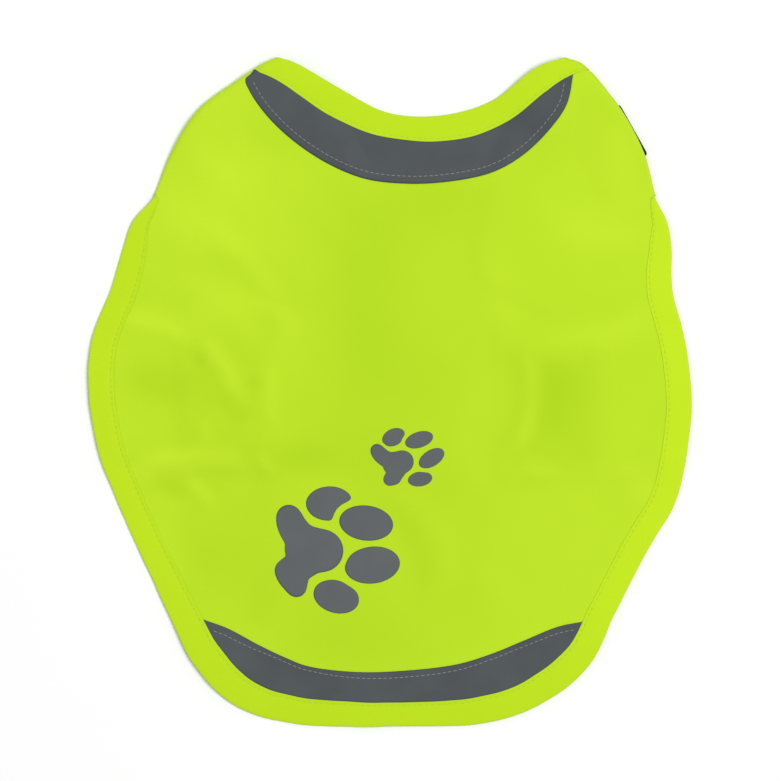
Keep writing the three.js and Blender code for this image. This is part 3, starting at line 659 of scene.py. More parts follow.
class Material:
    """A material and short ways to add nodes to it."""

    def __init__(self, name, roughness, sheen=0.0, specular=0.4):
        self.material = bpy.data.materials.new(name)
        self.material.use_nodes = True
        self.nodes = self.material.node_tree.nodes
        self.links = self.material.node_tree.links
        self.inputs = self.nodes["Principled BSDF"].inputs
        for key, value in (("Roughness", roughness), ("Sheen Weight", sheen), ("Sheen Roughness", 0.45),
                           ("Specular IOR Level", specular)):
            self.inputs[key].default_value = value
        self.place = self.add("TexCoord", {}, "Object")

    def join(self, value, socket):
        if isinstance(value, bpy.types.NodeSocket):
            self.links.new(value, socket)
        else:
            socket.default_value = value

    def add(self, kind, inputs, output=0, **settings):
        """A node with its inputs set or linked, as one of its outputs."""
        node = self.nodes.new(f"ShaderNode{kind}")
        for key, value in settings.items():
            setattr(node, key, value)
        for key, value in inputs.items():
            self.join(value, node.inputs[key])
        return node.outputs[output]

    def turned(self, degrees):
        return self.add("Mapping", {"Vector": self.place, "Rotation": (0, 0, math.radians(degrees))})

    def noise(self, scale, detail):
        return self.add("TexNoise", {"Vector": self.place, "Scale": scale, "Detail": detail}, "Fac")

    def math(self, operation, a, b):
        return self.add("Math", {0: a, 1: b}, operation=operation)

    def weave(self, pitch, degrees):
        """Threads over and under each other, pitch in metres."""
        place = self.turned(degrees)
        threads = {"Vector": place, "Scale": math.pi / 10 / pitch, "Distortion": 0.6, "Detail Scale": 3.0}
        warp, weft = (self.add("TexWave", threads, "Fac", bands_direction=way) for way in "XY")
        return self.math("MULTIPLY", warp, weft)

    def bump(self, height, distance, strength, **over):
        return self.add("Bump", {"Height": height, "Distance": distance, "Strength": strength, **over})

    def blend(self, amount, a, b):
        node = self.add("Mix", {"Factor": amount}, data_type="RGBA").node
        for key, value in (("A", a), ("B", b)):
            self.join(value, next(s for s in node.inputs if s.name == key and s.type == "RGBA"))
        return next(s for s in node.outputs if s.type == "RGBA")

    def stretch(self, value, low, high, to_low=0.0, to_high=1.0):
        ends = {"From Min": low, "From Max": high, "To Min": to_low, "To Max": to_high}
        return self.add("MapRange", {"Value": value, **ends})

    def finish(self, colour, normal):
        self.join(colour, self.inputs["Base Color"])
        self.join(normal, self.inputs["Normal"])
        return self.material


def cloth_material(name, light, dark, pitch, turn, sheen, roughness):
    """Woven cloth: its colour goes from the dark to the light colour with the painted light and shade,
    varied a little at random, with darker gaps between the threads.
    """
    m = Material(name, roughness, sheen, specular=0.2)
    threads = m.weave(pitch, turn)
    place = m.stretch(m.noise(16, 4), 0.3, 0.7, 0.47, 0.53)
    # the painted light and shade laid on each point
    shade = m.add("Attribute", {}, "Fac", attribute_name="painted_shading")
    colour = m.blend(m.math("ADD", place, m.math("MULTIPLY", shade, 0.5)), dark, light)
    # darker gaps between the threads, and a painted shadow darker than the dark colour where the painted
    # shade is deepest
    gaps = m.math("ADD", m.stretch(threads, 0.0, 0.5, 0.16, 0.0), m.stretch(shade, -1, -2, 0, 0.8))
    crumple = m.bump(m.noise(380, 3), 0.0001, 0.4)
    colour = m.blend(gaps, colour, times(dark, 0.5))
    return m.finish(colour, m.bump(threads, 0.00005, 0.8, Normal=crumple))


def tape_material(name, light, dark, roughness):
    """Retro-reflective tape: glass beads in a grey coat, mottled a little."""
    m = Material(name, roughness, specular=0.3)
    beads = m.noise(5200, 2)
    colour = m.blend(m.stretch(m.noise(38, 5), 0.3, 0.7), dark, light)
    colour = m.blend(m.stretch(beads, 0.55, 0.75, 0.0, 0.35), colour, times(light, 1.7))
    ribs = m.bump(m.weave(0.00055, 0), 0.00003, 0.5)
    return m.finish(colour, m.bump(beads, 0.00003, 0.5, Normal=ribs))


def thread_material(name, colour):
    m = Material(name, 0.6, 0.3, specular=0.4)
    twist = m.add("TexWave", {"Vector": m.turned(35), "Scale": 900.0}, "Fac")
    return m.finish(m.blend(m.stretch(twist, 0, 1, 0, 0.3), colour, times(colour, 0.6)),
                    m.bump(twist, 0.00004, 0.7))


def hook_material(name, colour, pitch):
    """Hook or loop tape: rows of stubble on a black ground."""
    m = Material(name, 0.85, 0.15, specular=0.3)
    pile = m.add("TexVoronoi", {"Vector": m.place, "Scale": 1 / pitch, "Randomness": 0.6}, "Distance")
    shade = m.blend(m.stretch(pile, 0.1, 0.6), times(colour, 2.2), colour)
    return m.finish(shade, m.bump(pile, 0.0004, 0.9))


# For each cloth the first colour is its lit look and the second its shaded look; the painted light and
# shade blends between them.
LIME = cloth_material("hi_vis_cloth", srgb(212, 245, 50), srgb(158, 200, 0), 0.00046, 0, 0.1, 0.84)
LIME_BIAS = cloth_material("bias_binding", srgb(209, 242, 30), srgb(164, 202, 0), 0.0004, 45, 0.12, 0.78)
SILVER = tape_material("reflective_tape", srgb(69, 75, 78), srgb(62, 67, 70), 0.62)
SILVER_FILM = tape_material("printed_film", srgb(85, 90, 92), srgb(79, 84, 86), 0.6)
LIME_THREAD = thread_material("lime_thread", srgb(186, 222, 30))
GREY_THREAD = thread_material("grey_thread", srgb(150, 152, 150))
BLACK_THREAD = thread_material("black_thread", srgb(34, 35, 37))
HOOK = hook_material("hook_tape", srgb(20, 21, 22), 0.0011)
LOOP = hook_material("loop_tape", srgb(24, 25, 26), 0.0007)


# --- the back panel with its neck straps

def side_rows(side):
    """Lengths of the panel's rows along one side, from the neck corner to the tail."""
    band = np.linspace(0, BINDING_WIDTH, BAND_ROWS + 1)
    fold = np.linspace(BINDING_WIDTH, fold_length[side], FOLD_ROWS - BAND_ROWS + 1)[1:]
    rest = np.linspace(fold_length[side], side_length[side], SIDE_ROWS + 1)[1:]
    return np.concatenate([band, fold, rest])


def mitre(side):
    """The cloth's corner between the neck edge and the fold, and how far along the neck it lies."""
    _, neck = neck_edge.place(neck_end[side])
    corner, flank = body_edge.place(on_side(side, 0))
    depth, height = edge_inset(side, np.zeros(1))[0], neck_inset(0)
    cosine = neck @ flank
    shift = (neck * (height - depth * cosine) + flank * (depth - height * cosine)) / (1 - cosine**2)
    return corner + shift, abs(shift @ left_of(neck))


def panel_plan():
    """Flat places of the panel's grid, rows from neck to tail and columns from left to right."""
    corners = {side: mitre(side) for side in SIDES}
    share = np.linspace(0, 1, ACROSS + 1)
    neck_s = mix(corners["left"][1], neck_edge.length - corners["right"][1], share)
    tail_s = mix(body_edge.length - side_length["left"], side_length["right"], share)
    top, bottom = neck_edge.inset(neck_s, neck_inset(neck_s)), body_edge.inset(tail_s, EDGE_INSET)
    down, flank = 0, {}
    for side, column in COLUMN.items():
        s = side_rows(side)
        flank[side] = body_edge.inset(on_side(side, s), edge_inset(side, s))[:, None]
        flank[side][0] = top[column] = corners[side][0]
        down = down + s[:, None, None] / side_length[side] / 2
    across = share[None, :, None]
    edges = mix(top, bottom, down) + mix(flank["left"], flank["right"], across)
    return edges - mix(mix(top[0], top[-1], across), mix(bottom[0], bottom[-1], across), down)


def neck_slant(side):
    """How far the cloth at the neck corner slides along its fold for each millimetre that it turns. So
    the neck edge runs straight on round the fold."""
    _, neck = neck_edge.place(neck_end[side])
    _, flank = body_edge.place(on_side(side, 0))
    out, down = left_of(neck) * OUT[side], left_of(flank) * OUT[side]
    return (out @ down) / -(out @ flank)


neck_slants = {side: neck_slant(side) for side in SIDES}


def turned_under(side, s, roots):
    """The roll of a fold, one row for each length s, and where the strap starts below it."""
    _, inward = body_edge.place(on_side(side, s))
    radius = (roots[:, 2] - strap_height(roots[:, :2]) - CLOTH / 2)[:, None] / 2
    slant = neck_slants[side] * np.clip(1 - s / SLIDE_RUN, 0, 1)[:, None] ** 2
    slide = left_of(inward) * OUT[side] * slant * radius
    angle = np.pi * np.arange(ROLL_STEPS + 1) / ROLL_STEPS
    out = (radius * np.sin(angle))[..., None]
    roll = roots[:, None, :2] - inward[:, None] * out + slide[:, None] * angle[:, None]
    return np.dstack([roll, roots[:, 2:] - radius * (1 - np.cos(angle))]), roots[:, :2] + slide * np.pi


def strap_places(side, s, starts, shares):
    """Points of the strap below a fold, one row for each length s."""
    across = s / fold_length[side]
    shift = starts[:, None] - strap_grid(side, across, [0])
    return laid(strap_grid(side, across, shares) + shift * (1 - shares[:, None]), strap_height)


def back_panel():
    plan = panel_plan()
    points = laid(plan)
    index = numbered(points)
    quads, parts, count = [grid_faces(index)], [points.reshape(-1, 3)], index.size
    shares = np.linspace(0, 1, STRAP_STEPS + 1)[1:]
    for side, column in COLUMN.items():
        s = side_rows(side)[:FOLD_ROWS + 1]
        roll, starts = turned_under(side, s, points[:FOLD_ROWS + 1, column])
        under = np.concatenate([roll[:, 1:], strap_places(side, s, starts, shares)], axis=1)
        rows = np.column_stack([index[:FOLD_ROWS + 1, column], count + numbered(under)])
        quads.append(grid_faces(rows)[:, ::OUT[side]])
        parts.append(under.reshape(-1, 3))
        count += under.size // 3
    painted_shadings = np.zeros(count)
    painted_shadings[:index.size] = painted_shading(plan.reshape(-1, 2))
    made = wall(np.vstack(parts), np.vstack(quads), CLOTH)
    return make_piece("cloth_panel", *made, LIME, "hi_vis_cloth", np.tile(painted_shadings, 2))


# --- bindings and seams

# Cross-section of a leg of the binding: places from the outer edge, as shares of its width, and how thick
# it is there.
SHARES = np.array([0, 0.05, 0.14, 0.3, 0.46, 0.62, 0.74, 0.81, 0.86, 0.89, 0.93, 0.97, 0.99, 1])
THICKNESS = np.array([0.92, 1.05, 1.15, 1.22, 1.2, 1.12, 1, 0.86, 0.6, 0.62, 0.95, 1.1, 0.95, 0.5]) * BIAS
NOSE_ANGLES = np.radians([62, 34, 0, -34, -62])
SEAM = 0.872  # share of the width where the stitches run
SEAM_RISE = 0.6 * BIAS + 0.08  # from a leg's inner face to its stitches
PUCKER = 0.07  # height of the puckers along the seam
PUCKER_REACH = 0.22  # share of the width that they reach to either side
# Uneven puckers and slow waves along an edge: height, length and phase of each wave.
RIPPLE = [(0.4, 6.7, 0), (0.25, 4.3, 1), (0.35, 11.9, 2.3)]
WOBBLE = [(0.5, 47, 0.5), (0.3, 29, 2), (0.2, 6 * math.pi, 0)]
# Share of the way round the body binding from the right fold, its painted light or shade there, and how
# strong the painted shadow along its inner edge is.
BODY_BINDING_SHADE = [(0, 0.2, 0.8), (0.05, 0.3, 1), (0.3, 0.2, 1), (0.38, -0.1, 0.6), (0.6, -0.1, 0.5),
             (0.75, 0.1, 0.7), (0.88, 0.1, 0.3), (1, 0, 0)]
EVEN_TRIM = [(0, 0, 0)]
# Painted shadow along a binding's inner edge: its tones outwards from the edge.
HEM_SHADOW = np.array([-1.5, -1.5, -1.5, -1.4, -1.1, -0.8, -0.4, -0.1])
Thread = namedtuple("Thread", "material slot length gap radius")  # the length is that of one stitch
BINDING_THREAD = Thread(LIME_THREAD, "binding", 2.5, 0.75, 0.2)
TAPE_THREAD = Thread(GREY_THREAD, "reflective_tape", 2.3, 0.7, 0.17)
PATCH_THREAD = Thread(BLACK_THREAD, "hook_and_loop", 2.2, 0.8, 0.16)
# One stitch: shares of its length, its thickness there and how high it lies.
STITCH = np.array([(0, 0.35, -0.22), (0.12, 0.8, -0.04), (0.35, 1, 0.06),
                   (0.65, 1, 0.06), (0.88, 0.8, -0.04), (1, 0.35, -0.22)])


def bias_tape(cover):
    """Rings of a tape folded round a cloth edge. cover holds places on the middle of the cloth, one row
    for each station, from the cloth's edge inwards at the shares of the section."""
    normals = grid_normals(cover)
    edge, up, out = cover[:, 0], normals[:, 0], unit(cover[:, 0] - cover[:, 1])
    run = lengths_along(edge)
    weight = PUCKER * np.exp(-(((SHARES - SEAM) / PUCKER_REACH) ** 2))

    def lines(top, nose, low):
        """From the inner edge over the upper leg, round the cloth's edge and back along the lower leg."""
        upper = [cover[:, k] + normals[:, k] * top[:, k, None] for k in range(len(SHARES))]
        lower = [cover[:, k] - normals[:, k] * low[:, k, None] for k in range(len(SHARES))]
        round_edge = [edge + (out * math.cos(a) + up * math.sin(a)) * nose for a in NOSE_ANGLES]
        return upper[::-1] + round_edge + lower

    top, low = (LEG + THICKNESS + weight * waves(at, RIPPLE)[:, None] for at in (run, run + 5))
    inner = np.full(top.shape, LEG)
    rings = np.stack(lines(top, LEG + THICKNESS[0], low) + lines(inner, LEG, inner)[::-1], axis=1)
    rings[..., 2] = np.maximum(rings[..., 2], 0)
    return rings


def tube_faces(rings):
    """Faces of a closed tube through rings, each one an outer and a returning inner line."""
    index = numbered(rings)
    faces = round_faces(index)[:, ::-1].tolist()
    half = rings.shape[1] // 2
    for ring, way in ((index[0], 1), (index[-1], -1)):
        outer, inner = ring[:half], ring[half:][::-1]
        faces += [[outer[k], inner[k], inner[k + 1], outer[k + 1]][::way] for k in range(half - 1)]
    return faces


def stitches(name, path, normals, thread):
    """A row of thread stitches along a path, each one dipping into the cloth at its ends."""
    run = lengths_along(path)
    along, thick, sink = STITCH.T
    thick, sink = thick[:, None, None] * thread.radius, sink[:, None, None]
    angles = (np.arange(6) * np.pi / 3)[:, None]
    pitch = thread.length + thread.gap
    points, faces = [], []
    for number in range(int((run[-1] - thread.gap) / pitch)):
        places = thread.gap + number * pitch + along * thread.length
        middle = points_at(path, run, places)
        up = unit(points_at(normals, run, places))
        side = np.cross(up, unit(middle[-1] - middle[0]))
        rings = (middle[:, None] + up[:, None] * (sink + thick * np.sin(angles))
                 + side[:, None] * thick * np.cos(angles))
        index = number * rings.size // 3 + numbered(rings)
        faces += round_faces(index)[:, ::-1].tolist()
        faces += [index[0][::-1].tolist(), index[-1].tolist()]
        points.append(rings.reshape(-1, 3))
    return make_piece(f"stitches_{name}", np.vstack(points), faces, thread.material, thread.slot)


def seam_line(cover, side):
    """The line of stitches on one leg of a folded tape, and its normals."""
    k = np.interp(SEAM, SHARES, np.arange(len(SHARES)))
    low, part = int(k), k - int(k)
    normals = grid_normals(cover) * side
    normal = unit(mix(normals[:, low], normals[:, low + 1], part))
    return mix(cover[:, low], cover[:, low + 1], part) + normal * (LEG + SEAM_RISE), normal


def binding(name, cover, trim=EVEN_TRIM):
    """A folded tape with its stitches on both legs, with painted light and shade along it and a painted
    shadow along its inner edge on the outer face.
    """
    rings = bias_tape(cover)
    # painted light and shade along the binding, and how strong the painted shadow at its inner edge (hem)
    # is
    shares, painted_shading, hem = np.array(trim).T
    along = np.linspace(0, 1, len(rings))
    painted_shadings = np.tile(np.interp(along, shares, painted_shading)[:, None], rings.shape[1])
    # the first columns are the outer face at the inner edge, where the painted shadow is laid
    edge = painted_shadings[:, :len(HEM_SHADOW)]
    edge += (HEM_SHADOW - edge) * np.interp(along, shares, hem)[:, None]
    tape = make_piece(f"bias_{name}", rings, tube_faces(rings), LIME_BIAS, "binding", painted_shadings.ravel())
    for leg, side in (("upper", 1), ("lower", -1)):
        stitches(f"{name}_{leg}", *seam_line(cover, side), BINDING_THREAD)
    return tape


def rim_cover(rim, width):
    """A binding's footprint round the free edge of a strap."""
    s = np.linspace(0, rim.length, int(rim.length / RIM_STEP))
    return laid(rim.inset(s[:, None], width * SHARES[None]), strap_height)


def widening(edge, s, places):
    return sum(extra * np.exp(-(((s - edge.nearest(place)) / run) ** 2)) for place, extra, run in places)


def body_cover():
    """The body binding's footprint, from the right fold round the tail to the left fold."""
    start, stop = fold_length["right"] + FOLD_SEAM, body_edge.length - fold_length["left"] - FOLD_SEAM
    s = np.linspace(start, stop, BODY_STATIONS)
    out = np.clip(np.minimum(s - start, stop - s) / NARROW_RUN, 0, 1)
    width = mix(NARROW_START, BINDING_WIDTH, 1 - (1 - out) ** NARROW_POWER) - EDGE_INSET
    width += widening(body_edge, s, WIDE_BODY)
    depth = EDGE_INSET + EDGE_WOBBLE * waves(s, WOBBLE)[:, None] + width[:, None] * SHARES
    return laid(body_edge.inset(s[:, None], depth))


def neck_stations(s):
    """Places across the neck binding for lengths s on the neck edge."""
    s = np.atleast_1d(s)
    to_end = {side: abs(s - neck_end[side]) for side in SIDES}
    narrow = sum(NECK_NARROW[side] * ease(1 - to_end[side] / NECK_NARROW_RUN) for side in SIDES)
    width = BINDING_WIDTH - EDGE_INSET - narrow + widening(neck_edge, s, WIDE_NECK)
    return neck_edge.inset(s[:, None], neck_inset(s)[:, None] + width[:, None] * SHARES)


def tucked_end(side):
    """The neck binding's footprint from the last station on the neck, round the fold and under."""
    lengths = SHARES * (BINDING_WIDTH - EDGE_INSET)
    flat = body_edge.inset(on_side(side, lengths), edge_inset(side, lengths))
    flat[0], along = mitre(side)
    fan = []
    for t in np.linspace(0, 1, FAN_STATIONS)[1:-1]:
        here = neck_stations(abs(neck_end[side] - mix(FAN_RUN, along, t)))[0]
        fan.append(laid(mix(here, flat, t * t)))
    roll, starts = turned_under(side, lengths, laid(flat))
    under = []
    for t in np.linspace(0, TUCKED, UNDER_STEPS + 1)[1:]:
        narrow = mix(1, STRAP_BINDING / BINDING_WIDTH, t / TUCKED)
        places = strap_places(side, lengths, starts, np.array([t]))[:, 0]
        under.append(mix(places[:1], places, narrow))
    return fan + list(roll.transpose(1, 0, 2)) + under


def neck_cover():
    """The neck binding's footprint: over the neck, round both folds and on under the panel."""
    neck = laid(neck_stations(np.linspace(FAN_RUN, neck_edge.length - FAN_RUN, NECK_STATIONS)))
    return np.stack(tucked_end("left")[::-1] + list(neck) + tucked_end("right"))


# --- reflective tape and paw prints

TAPE_AIR = 0.08  # between the cloth and the tape on it
TAPE_HEM = 0.1  # inside the binding a tape lies lower by this and its thickness
SEAM_STARTS = (6, 5)  # the seam along the free edge starts and ends this far from the tips
# From the free edge of each reflective tape to its stitches, at even steps along it.
TAPE_SEAMS = {"neck": [4.2, 4.2], "tail": [4.2, 4, 2.3, 2.3, 3.3, 3.6, 3.5, 3, 2.8, 3.4, 3.8]}
STITCH_AIR = 0.13  # between the tape and the middle of its thread
STEEPEST = 0.995  # nothing on a fold reaches further out than this share of its radius
FILM_LOW, FILM_TOP = 0.01, 0.13  # heights of the printed film's faces over the cloth
FIELD_REACH = 34  # no shape of a paw reaches further from its middle
FIELD_STEPS = 700

# A paw pointing along +X, in millimetres, round the middle of its pad's front.
Lobe = namedtuple("Lobe", "x y radius")
PAD = [Lobe(0.7, 0, 11.8), Lobe(-6, 6, 7), Lobe(-10.4, 0.7, 9.6), Lobe(-16.8, 12, 7.4),
       Lobe(-12.6, 11.6, 5.6), Lobe(-18.4, 17.8, 7.2), Lobe(-7.5, -8.8, 6.4), Lobe(-18.4, -11.6, 6.8),
       Lobe(-17, -16.2, 5.6), Lobe(-12.6, -16, 5), Lobe(-12.8, -20.6, 5.8)]
SMALL_PAD = PAD[:8] + [Lobe(-13, -13.6, 5.6), Lobe(-19, 21.2, 6.8)]
PAD_MIDDLE = (-14, -2)
Toe = namedtuple("Toe", "x y length width turn")
TOES = [Toe(3.8, 26.3, 26, 19, 4), Toe(24.6, 16.2, 30, 19.4, -5), Toe(28.8, -7, 30.8, 20.4, 9),
        Toe(9.4, -25.2, 25.8, 18, -14)]
SMALL_TOES = [Toe(2.2, 27, 25, 17.4, 4), Toe(25.6, 14.2, 30, 16.4, -5), Toe(30, -8.4, 29.4, 16.8, 9),
              Toe(10.6, -23.6, 25.4, 15.2, -14)]
BESIDE = {0: 1, 3: 2}  # the outer toes make room for the inner ones
PAD_GAP = 2.6  # from the pad to a toe that has to make room
TOE_GAP = 3.7  # from one toe to the next
LOBE_BLEND = 0.9  # the higher, the sharper the corners between lobes
TOE_BLEND = 1.4  # the same for a toe that is cut back
# Shares of the way out from a shape's middle, and the directions round it.
PAW_RINGS = np.array([0.0, 0.2, 0.36, 0.52, 0.68, 0.82, 0.93, 1.0])[:, None, None]
CIRCLE = np.array([(np.cos(a), np.sin(a)) for a in np.linspace(0, 2 * np.pi, 121)[:-1]])


def fold_drop(points, lift):
    """Lowers points that lie past the root of a fold on to its roll."""
    low = np.zeros(len(points))
    for side in SIDES:
        s = np.linspace(0, fold_length[side] * FOLD_BLEND, ROOT_SAMPLES)
        inset = fold_inset(side, s)
        roots, (_, inward) = body_edge.inset(on_side(side, s), inset), body_edge.place(on_side(side, s))
        nearest = np.argmin(np.linalg.norm(points[:, None, :2] - roots[None], axis=2), axis=1)
        past = -np.sum((points[:, :2] - roots[nearest]) * inward[nearest], axis=1)
        radius = (inset - rounding(s))[nearest] + lift
        past = np.clip(past, 0, radius * STEEPEST)
        low += radius - np.sqrt(radius**2 - past**2)
    return low


def on_cloth(plan, lift):
    """Points over the outer face of the panel, and round its folds."""
    points = laid(plan, lift=CLOTH + lift)
    points[..., 2] -= fold_drop(points.reshape(-1, 3), lift).reshape(points.shape[:-1])
    return points


def crescent(name, free_points, cover, inward):
    """Reflective tape from its free edge to just under a binding, stitched along the free edge."""
    free = Edge(free_points)
    s = free.length * (0.5 - 0.5 * np.cos(np.linspace(0, np.pi, TAPE_STATIONS)))
    outer, _ = free.place(s)
    first, last = (nearest_row(cover[:, -1, :2], tip) for tip in (outer[0], outer[-1]))
    bound = (cover[first:last + 1, k, :2] for k in (-1, -3))
    runs = ((line, lengths_along(line)) for line in bound)
    hem, hidden = (points_at(line, run, s / free.length * run[-1])[:, None] for line, run in runs)
    share = np.linspace(0, 1, TAPE_ROWS)[None, :, None]
    plan = np.concatenate([hidden, mix(hem, outer[:, None], share)], axis=1)
    points = on_cloth(plan, TAPE_AIR + TAPE / 2)
    points[:, 0, 2] -= TAPE + TAPE_HEM
    sheet = wall(points, grid_faces(numbered(points))[:, ::inward], TAPE)
    tape = make_piece(f"tape_{name}", *sheet, SILVER, "reflective_tape")
    along = np.linspace(SEAM_STARTS[0], free.length - SEAM_STARTS[1], SEAM_STATIONS)
    seams = TAPE_SEAMS[name]
    depth = np.interp(along / free.length, np.linspace(0, 1, len(seams)), seams)
    seam = on_cloth(free.inset(along, -depth * inward), STITCH_AIR + TAPE)
    stitches(name, seam, np.tile(UP, (len(seam), 1)), TAPE_THREAD)
    return tape


def pad_field(p, lobes):
    """Distance outside the pad, which is a soft union of round lobes."""
    gaps = [np.hypot(p[..., 0] - lobe.x, p[..., 1] - lobe.y) - lobe.radius for lobe in lobes]
    return -np.log(sum(np.exp(-LOBE_BLEND * gap) for gap in gaps)) / LOBE_BLEND


def toe_field(p, toe):
    """Rough distance outside a toe's ellipse."""
    half = np.array([toe.length / 2, toe.width / 2])
    q = (p - (toe.x, toe.y)) @ rotation(toe.turn).T / half
    near = np.hypot(q[..., 0], q[..., 1])
    return near * (near - 1) / np.maximum(np.linalg.norm(q / half, axis=-1), 1e-9)


def round_outline(field, centre):
    """The closed line round a centre where a field is zero, a little smoothed."""
    reach = np.linspace(1, FIELD_REACH, FIELD_STEPS)
    values = field(np.array(centre, float) + CIRCLE[:, None] * reach[None, :, None])
    radius = reach[np.argmax(values > 0, axis=1)]
    for _ in range(3):
        radius = (np.roll(radius, 1) + 2 * radius + np.roll(radius, -1)) / 4
    return np.array(centre, float) + CIRCLE * radius[:, None]


def paw_outlines(toes, lobes):
    """Centres and outlines of the pad and the toes. The outer toes make room for what they lie beside."""
    shapes = [(PAD_MIDDLE, lambda p: pad_field(p, lobes))]
    for number, toe in enumerate(toes):
        beside = toes[BESIDE[number]] if number in BESIDE else None

        def field(p, toe=toe, beside=beside):
            parts = [toe_field(p, toe), PAD_GAP - pad_field(p, lobes)]
            if beside:
                parts.append(TOE_GAP - toe_field(p, beside))
            return np.log(sum(np.exp(TOE_BLEND * part) for part in parts)) / TOE_BLEND
        shapes.append(((toe.x, toe.y), field))
    return [(np.array(centre), round_outline(field, centre)) for centre, field in shapes]


def paw(name, x, y, size, turn, toes, lobes):
    """A paw print of thin reflective film on the cloth."""
    points, faces, count = [], [], 0
    for centre, outline in paw_outlines(toes, lobes):
        plan = mix(centre, outline, PAW_RINGS) * size @ rotation(turn) + [x, y]
        both = np.concatenate([on_cloth(plan, FILM_TOP), on_cloth(plan[::-1], FILM_LOW)])
        middles, rims = both[[0, -1], 0], both[1:-1]
        index = count + 2 + numbered(rims)
        faces += round_faces(index).tolist()
        faces += [[count, a, b] for a, b in zip(index[0], np.roll(index[0], -1))]
        faces += [[count + 1, b, a] for a, b in zip(index[-1], np.roll(index[-1], -1))]
        points += [middles, rims.reshape(-1, 3)]
        count += 2 + index.size
    return make_piece(name, np.vstack(points), faces, SILVER_FILM, "reflective_tape")


# --- belly straps and patches

# A patch from the middle of its top round to the middle of its bottom: shares of size and thickness.
PATCH_PROFILE = [(0.02, 1), (0.3, 1), (0.6, 1), (0.85, 1), (0.95, 0.98), (0.99, 0.9), (1, 0.7), (1, 0),
                 (0.85, 0), (0.6, 0), (0.3, 0), (0.02, 0)]
PATCH_ROUND = 0.1  # 0 is a rectangle and 1 an ellipse
PATCH_SEAM = 1.8  # from a patch's edge to its stitches


def belly_plan(side):
    strap, root = BELLY_STRAPS[side], belly_roots[side]
    share = np.linspace(0, 1, len(root))
    cut = corner_cut(np.minimum(share, 1 - share) * (strap.top - strap.bottom), strap.corner)
    end = np.stack([strap.tip + OUT[side] * cut, mix(strap.top, strap.bottom, share)], -1)
    return mix(root[:, None], end[:, None], np.linspace(0, 1, BELLY_COLUMNS)[None, :, None])


def belly_strap(side):
    points = laid(belly_plan(side), strap_height)
    made = wall(points, grid_faces(numbered(points))[:, ::-OUT[side]], CLOTH)
    return make_piece(f"cloth_belly_strap_{side}", *made, LIME, "hi_vis_cloth")


def lying(xy, patch, high):
    """Places at a height over a patch's underside, which lies on the floor or on top of its strap."""
    strap = strap_height(xy) if patch.base else 0
    return np.column_stack([xy, np.full(len(xy), patch.base + SLIP + high) + strap])


def patch_piece(name, patch, material):
    """A hook or loop patch with rounded corners and a soft rim, stitched down along its edge."""
    turned, middle = rotation(patch.turn), [patch.x, patch.y]
    rim = np.sign(CIRCLE) * np.abs(CIRCLE) ** PATCH_ROUND * (patch.width / 2, patch.depth / 2)
    points = np.stack([lying(rim * ring @ turned + middle, patch, PATCH * high)
                       for ring, high in PATCH_PROFILE])
    index = numbered(points)
    faces = round_faces(index).tolist() + [index[0].tolist(), index[-1][::-1].tolist()]
    seam = (rim - np.sign(rim) * PATCH_SEAM) @ turned + middle
    for word, high, way in (("upper", PATCH, UP), ("lower", 0, -UP)):
        stitches(f"{name}_{word}", lying(seam, patch, high), np.tile(way, (len(seam), 1)), PATCH_THREAD)
    return make_piece(f"pile_{name}", points, faces, material, "hook_and_loop")


# --- the stage

FLOOR_HALF = 3.0
FLOOR_DROP = 0.0002
# Place, size and power of the lamps, in metres and watts. They point at the middle of the floor.
LAMPS = {"key": ((0.9, 0.2, 2.6), (1.3, 1.3), 50), "side": ((-1.7, 1.1, 0.9), (0.8, 0.6), 6.5)}
SKY = 0.5  # strength of the even light from all round
LENS = 190
SENSOR = 36
FILL = 0.86  # share of the picture's height that the vest takes


def placed(name, data):
    thing = bpy.data.objects.new(name, data)
    bpy.context.scene.collection.objects.link(thing)
    return thing


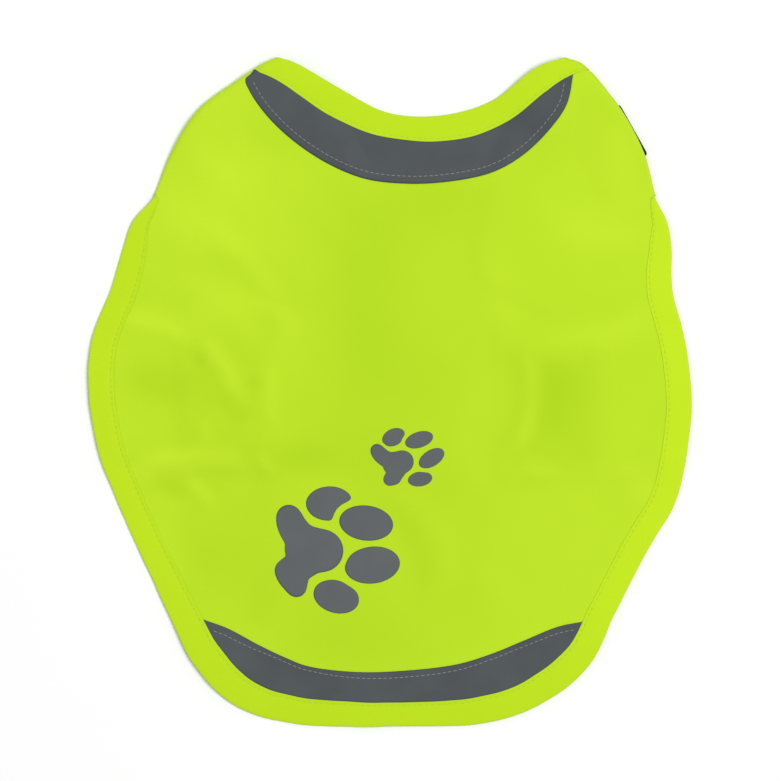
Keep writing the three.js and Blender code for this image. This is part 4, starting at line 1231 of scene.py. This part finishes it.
def floor():
    mesh = bpy.data.meshes.new("floor")
    corners = [(x * FLOOR_HALF, y * FLOOR_HALF, 0) for x, y in ((-1, -1), (1, -1), (1, 1), (-1, 1))]
    mesh.from_pydata(corners, [], [(0, 1, 2, 3)])
    m = Material("pale_floor", 0.9, specular=0.1)
    colour = m.blend(m.noise(3, 2), (0.9, 0.9, 0.9, 1), (0.92, 0.92, 0.92, 1))
    mesh.materials.append(m.finish(colour, m.bump(m.noise(600, 2), 0.00005, 0.2)))
    plane = placed("floor", mesh)
    plane.location.z = -FLOOR_DROP


def studio():
    for name, (place, size, power) in LAMPS.items():
        light = bpy.data.lights.new(name, "AREA")
        light.shape = "RECTANGLE"
        light.size, light.size_y = size
        light.energy = power
        lamp = placed(name, light)
        lamp.location = place
        lamp.rotation_euler = (-Vector(place)).to_track_quat("-Z", "Y").to_euler()
    world = bpy.data.worlds.new("studio")
    bpy.context.scene.world = world
    world.use_nodes = True
    background = world.node_tree.nodes["Background"]
    background.inputs["Color"].default_value = (1, 1, 1, 1)
    background.inputs["Strength"].default_value = SKY


def camera(low, high):
    """Straight down on the vest, with the neck at the top of the frame."""
    data = bpy.data.cameras.new("camera")
    data.lens, data.sensor_width = LENS, SENSOR
    eye = placed("camera", data)
    middle = (low + high) / 2
    eye.location = (middle.x, middle.y, (high.y - low.y) / FILL * LENS / SENSOR)
    bpy.context.scene.camera = eye
    bpy.context.scene.view_settings.view_transform = "Standard"


# --- the vest

camera(cad_low, cad_high)
studio()
floor()

panel = back_panel()
neck, body = neck_cover(), body_cover()
trims = [binding("neck", neck), binding("body", body, BODY_BINDING_SHADE)]
hidden_rows = UNDER_STEPS + ROLL_STEPS // 2
trims += [crescent("neck", NECK_TAPE, neck[hidden_rows:-hidden_rows], 1),
          crescent("tail", TAIL_TAPE, body[::-1], -1)]
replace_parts(panel, "back_panel")
for piece, node in zip(trims, ("binding_neck", "binding_body", "reflector_neck", "reflector_tail")):
    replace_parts(piece, node)
trims += [paw("paw_big", -38.4, -88.7, 1, -2, TOES, PAD),
          paw("paw_small", 6.5, -39.5, 0.535, 23, SMALL_TOES, SMALL_PAD)]
rims = {name: binding(name, rim_cover(rim, STRAP_BINDING)) for name, rim in strap_rims.items()}
trims += [rims[f"neck_strap_{side}"] for side in SIDES]
for side in SIDES:
    strap = belly_strap(side)
    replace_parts(strap, f"belly_strap_{side}")
for name, patch in PATCHES.items():
    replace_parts(patch_piece(name, patch, HOOK if name.startswith("hook") else LOOP), name)
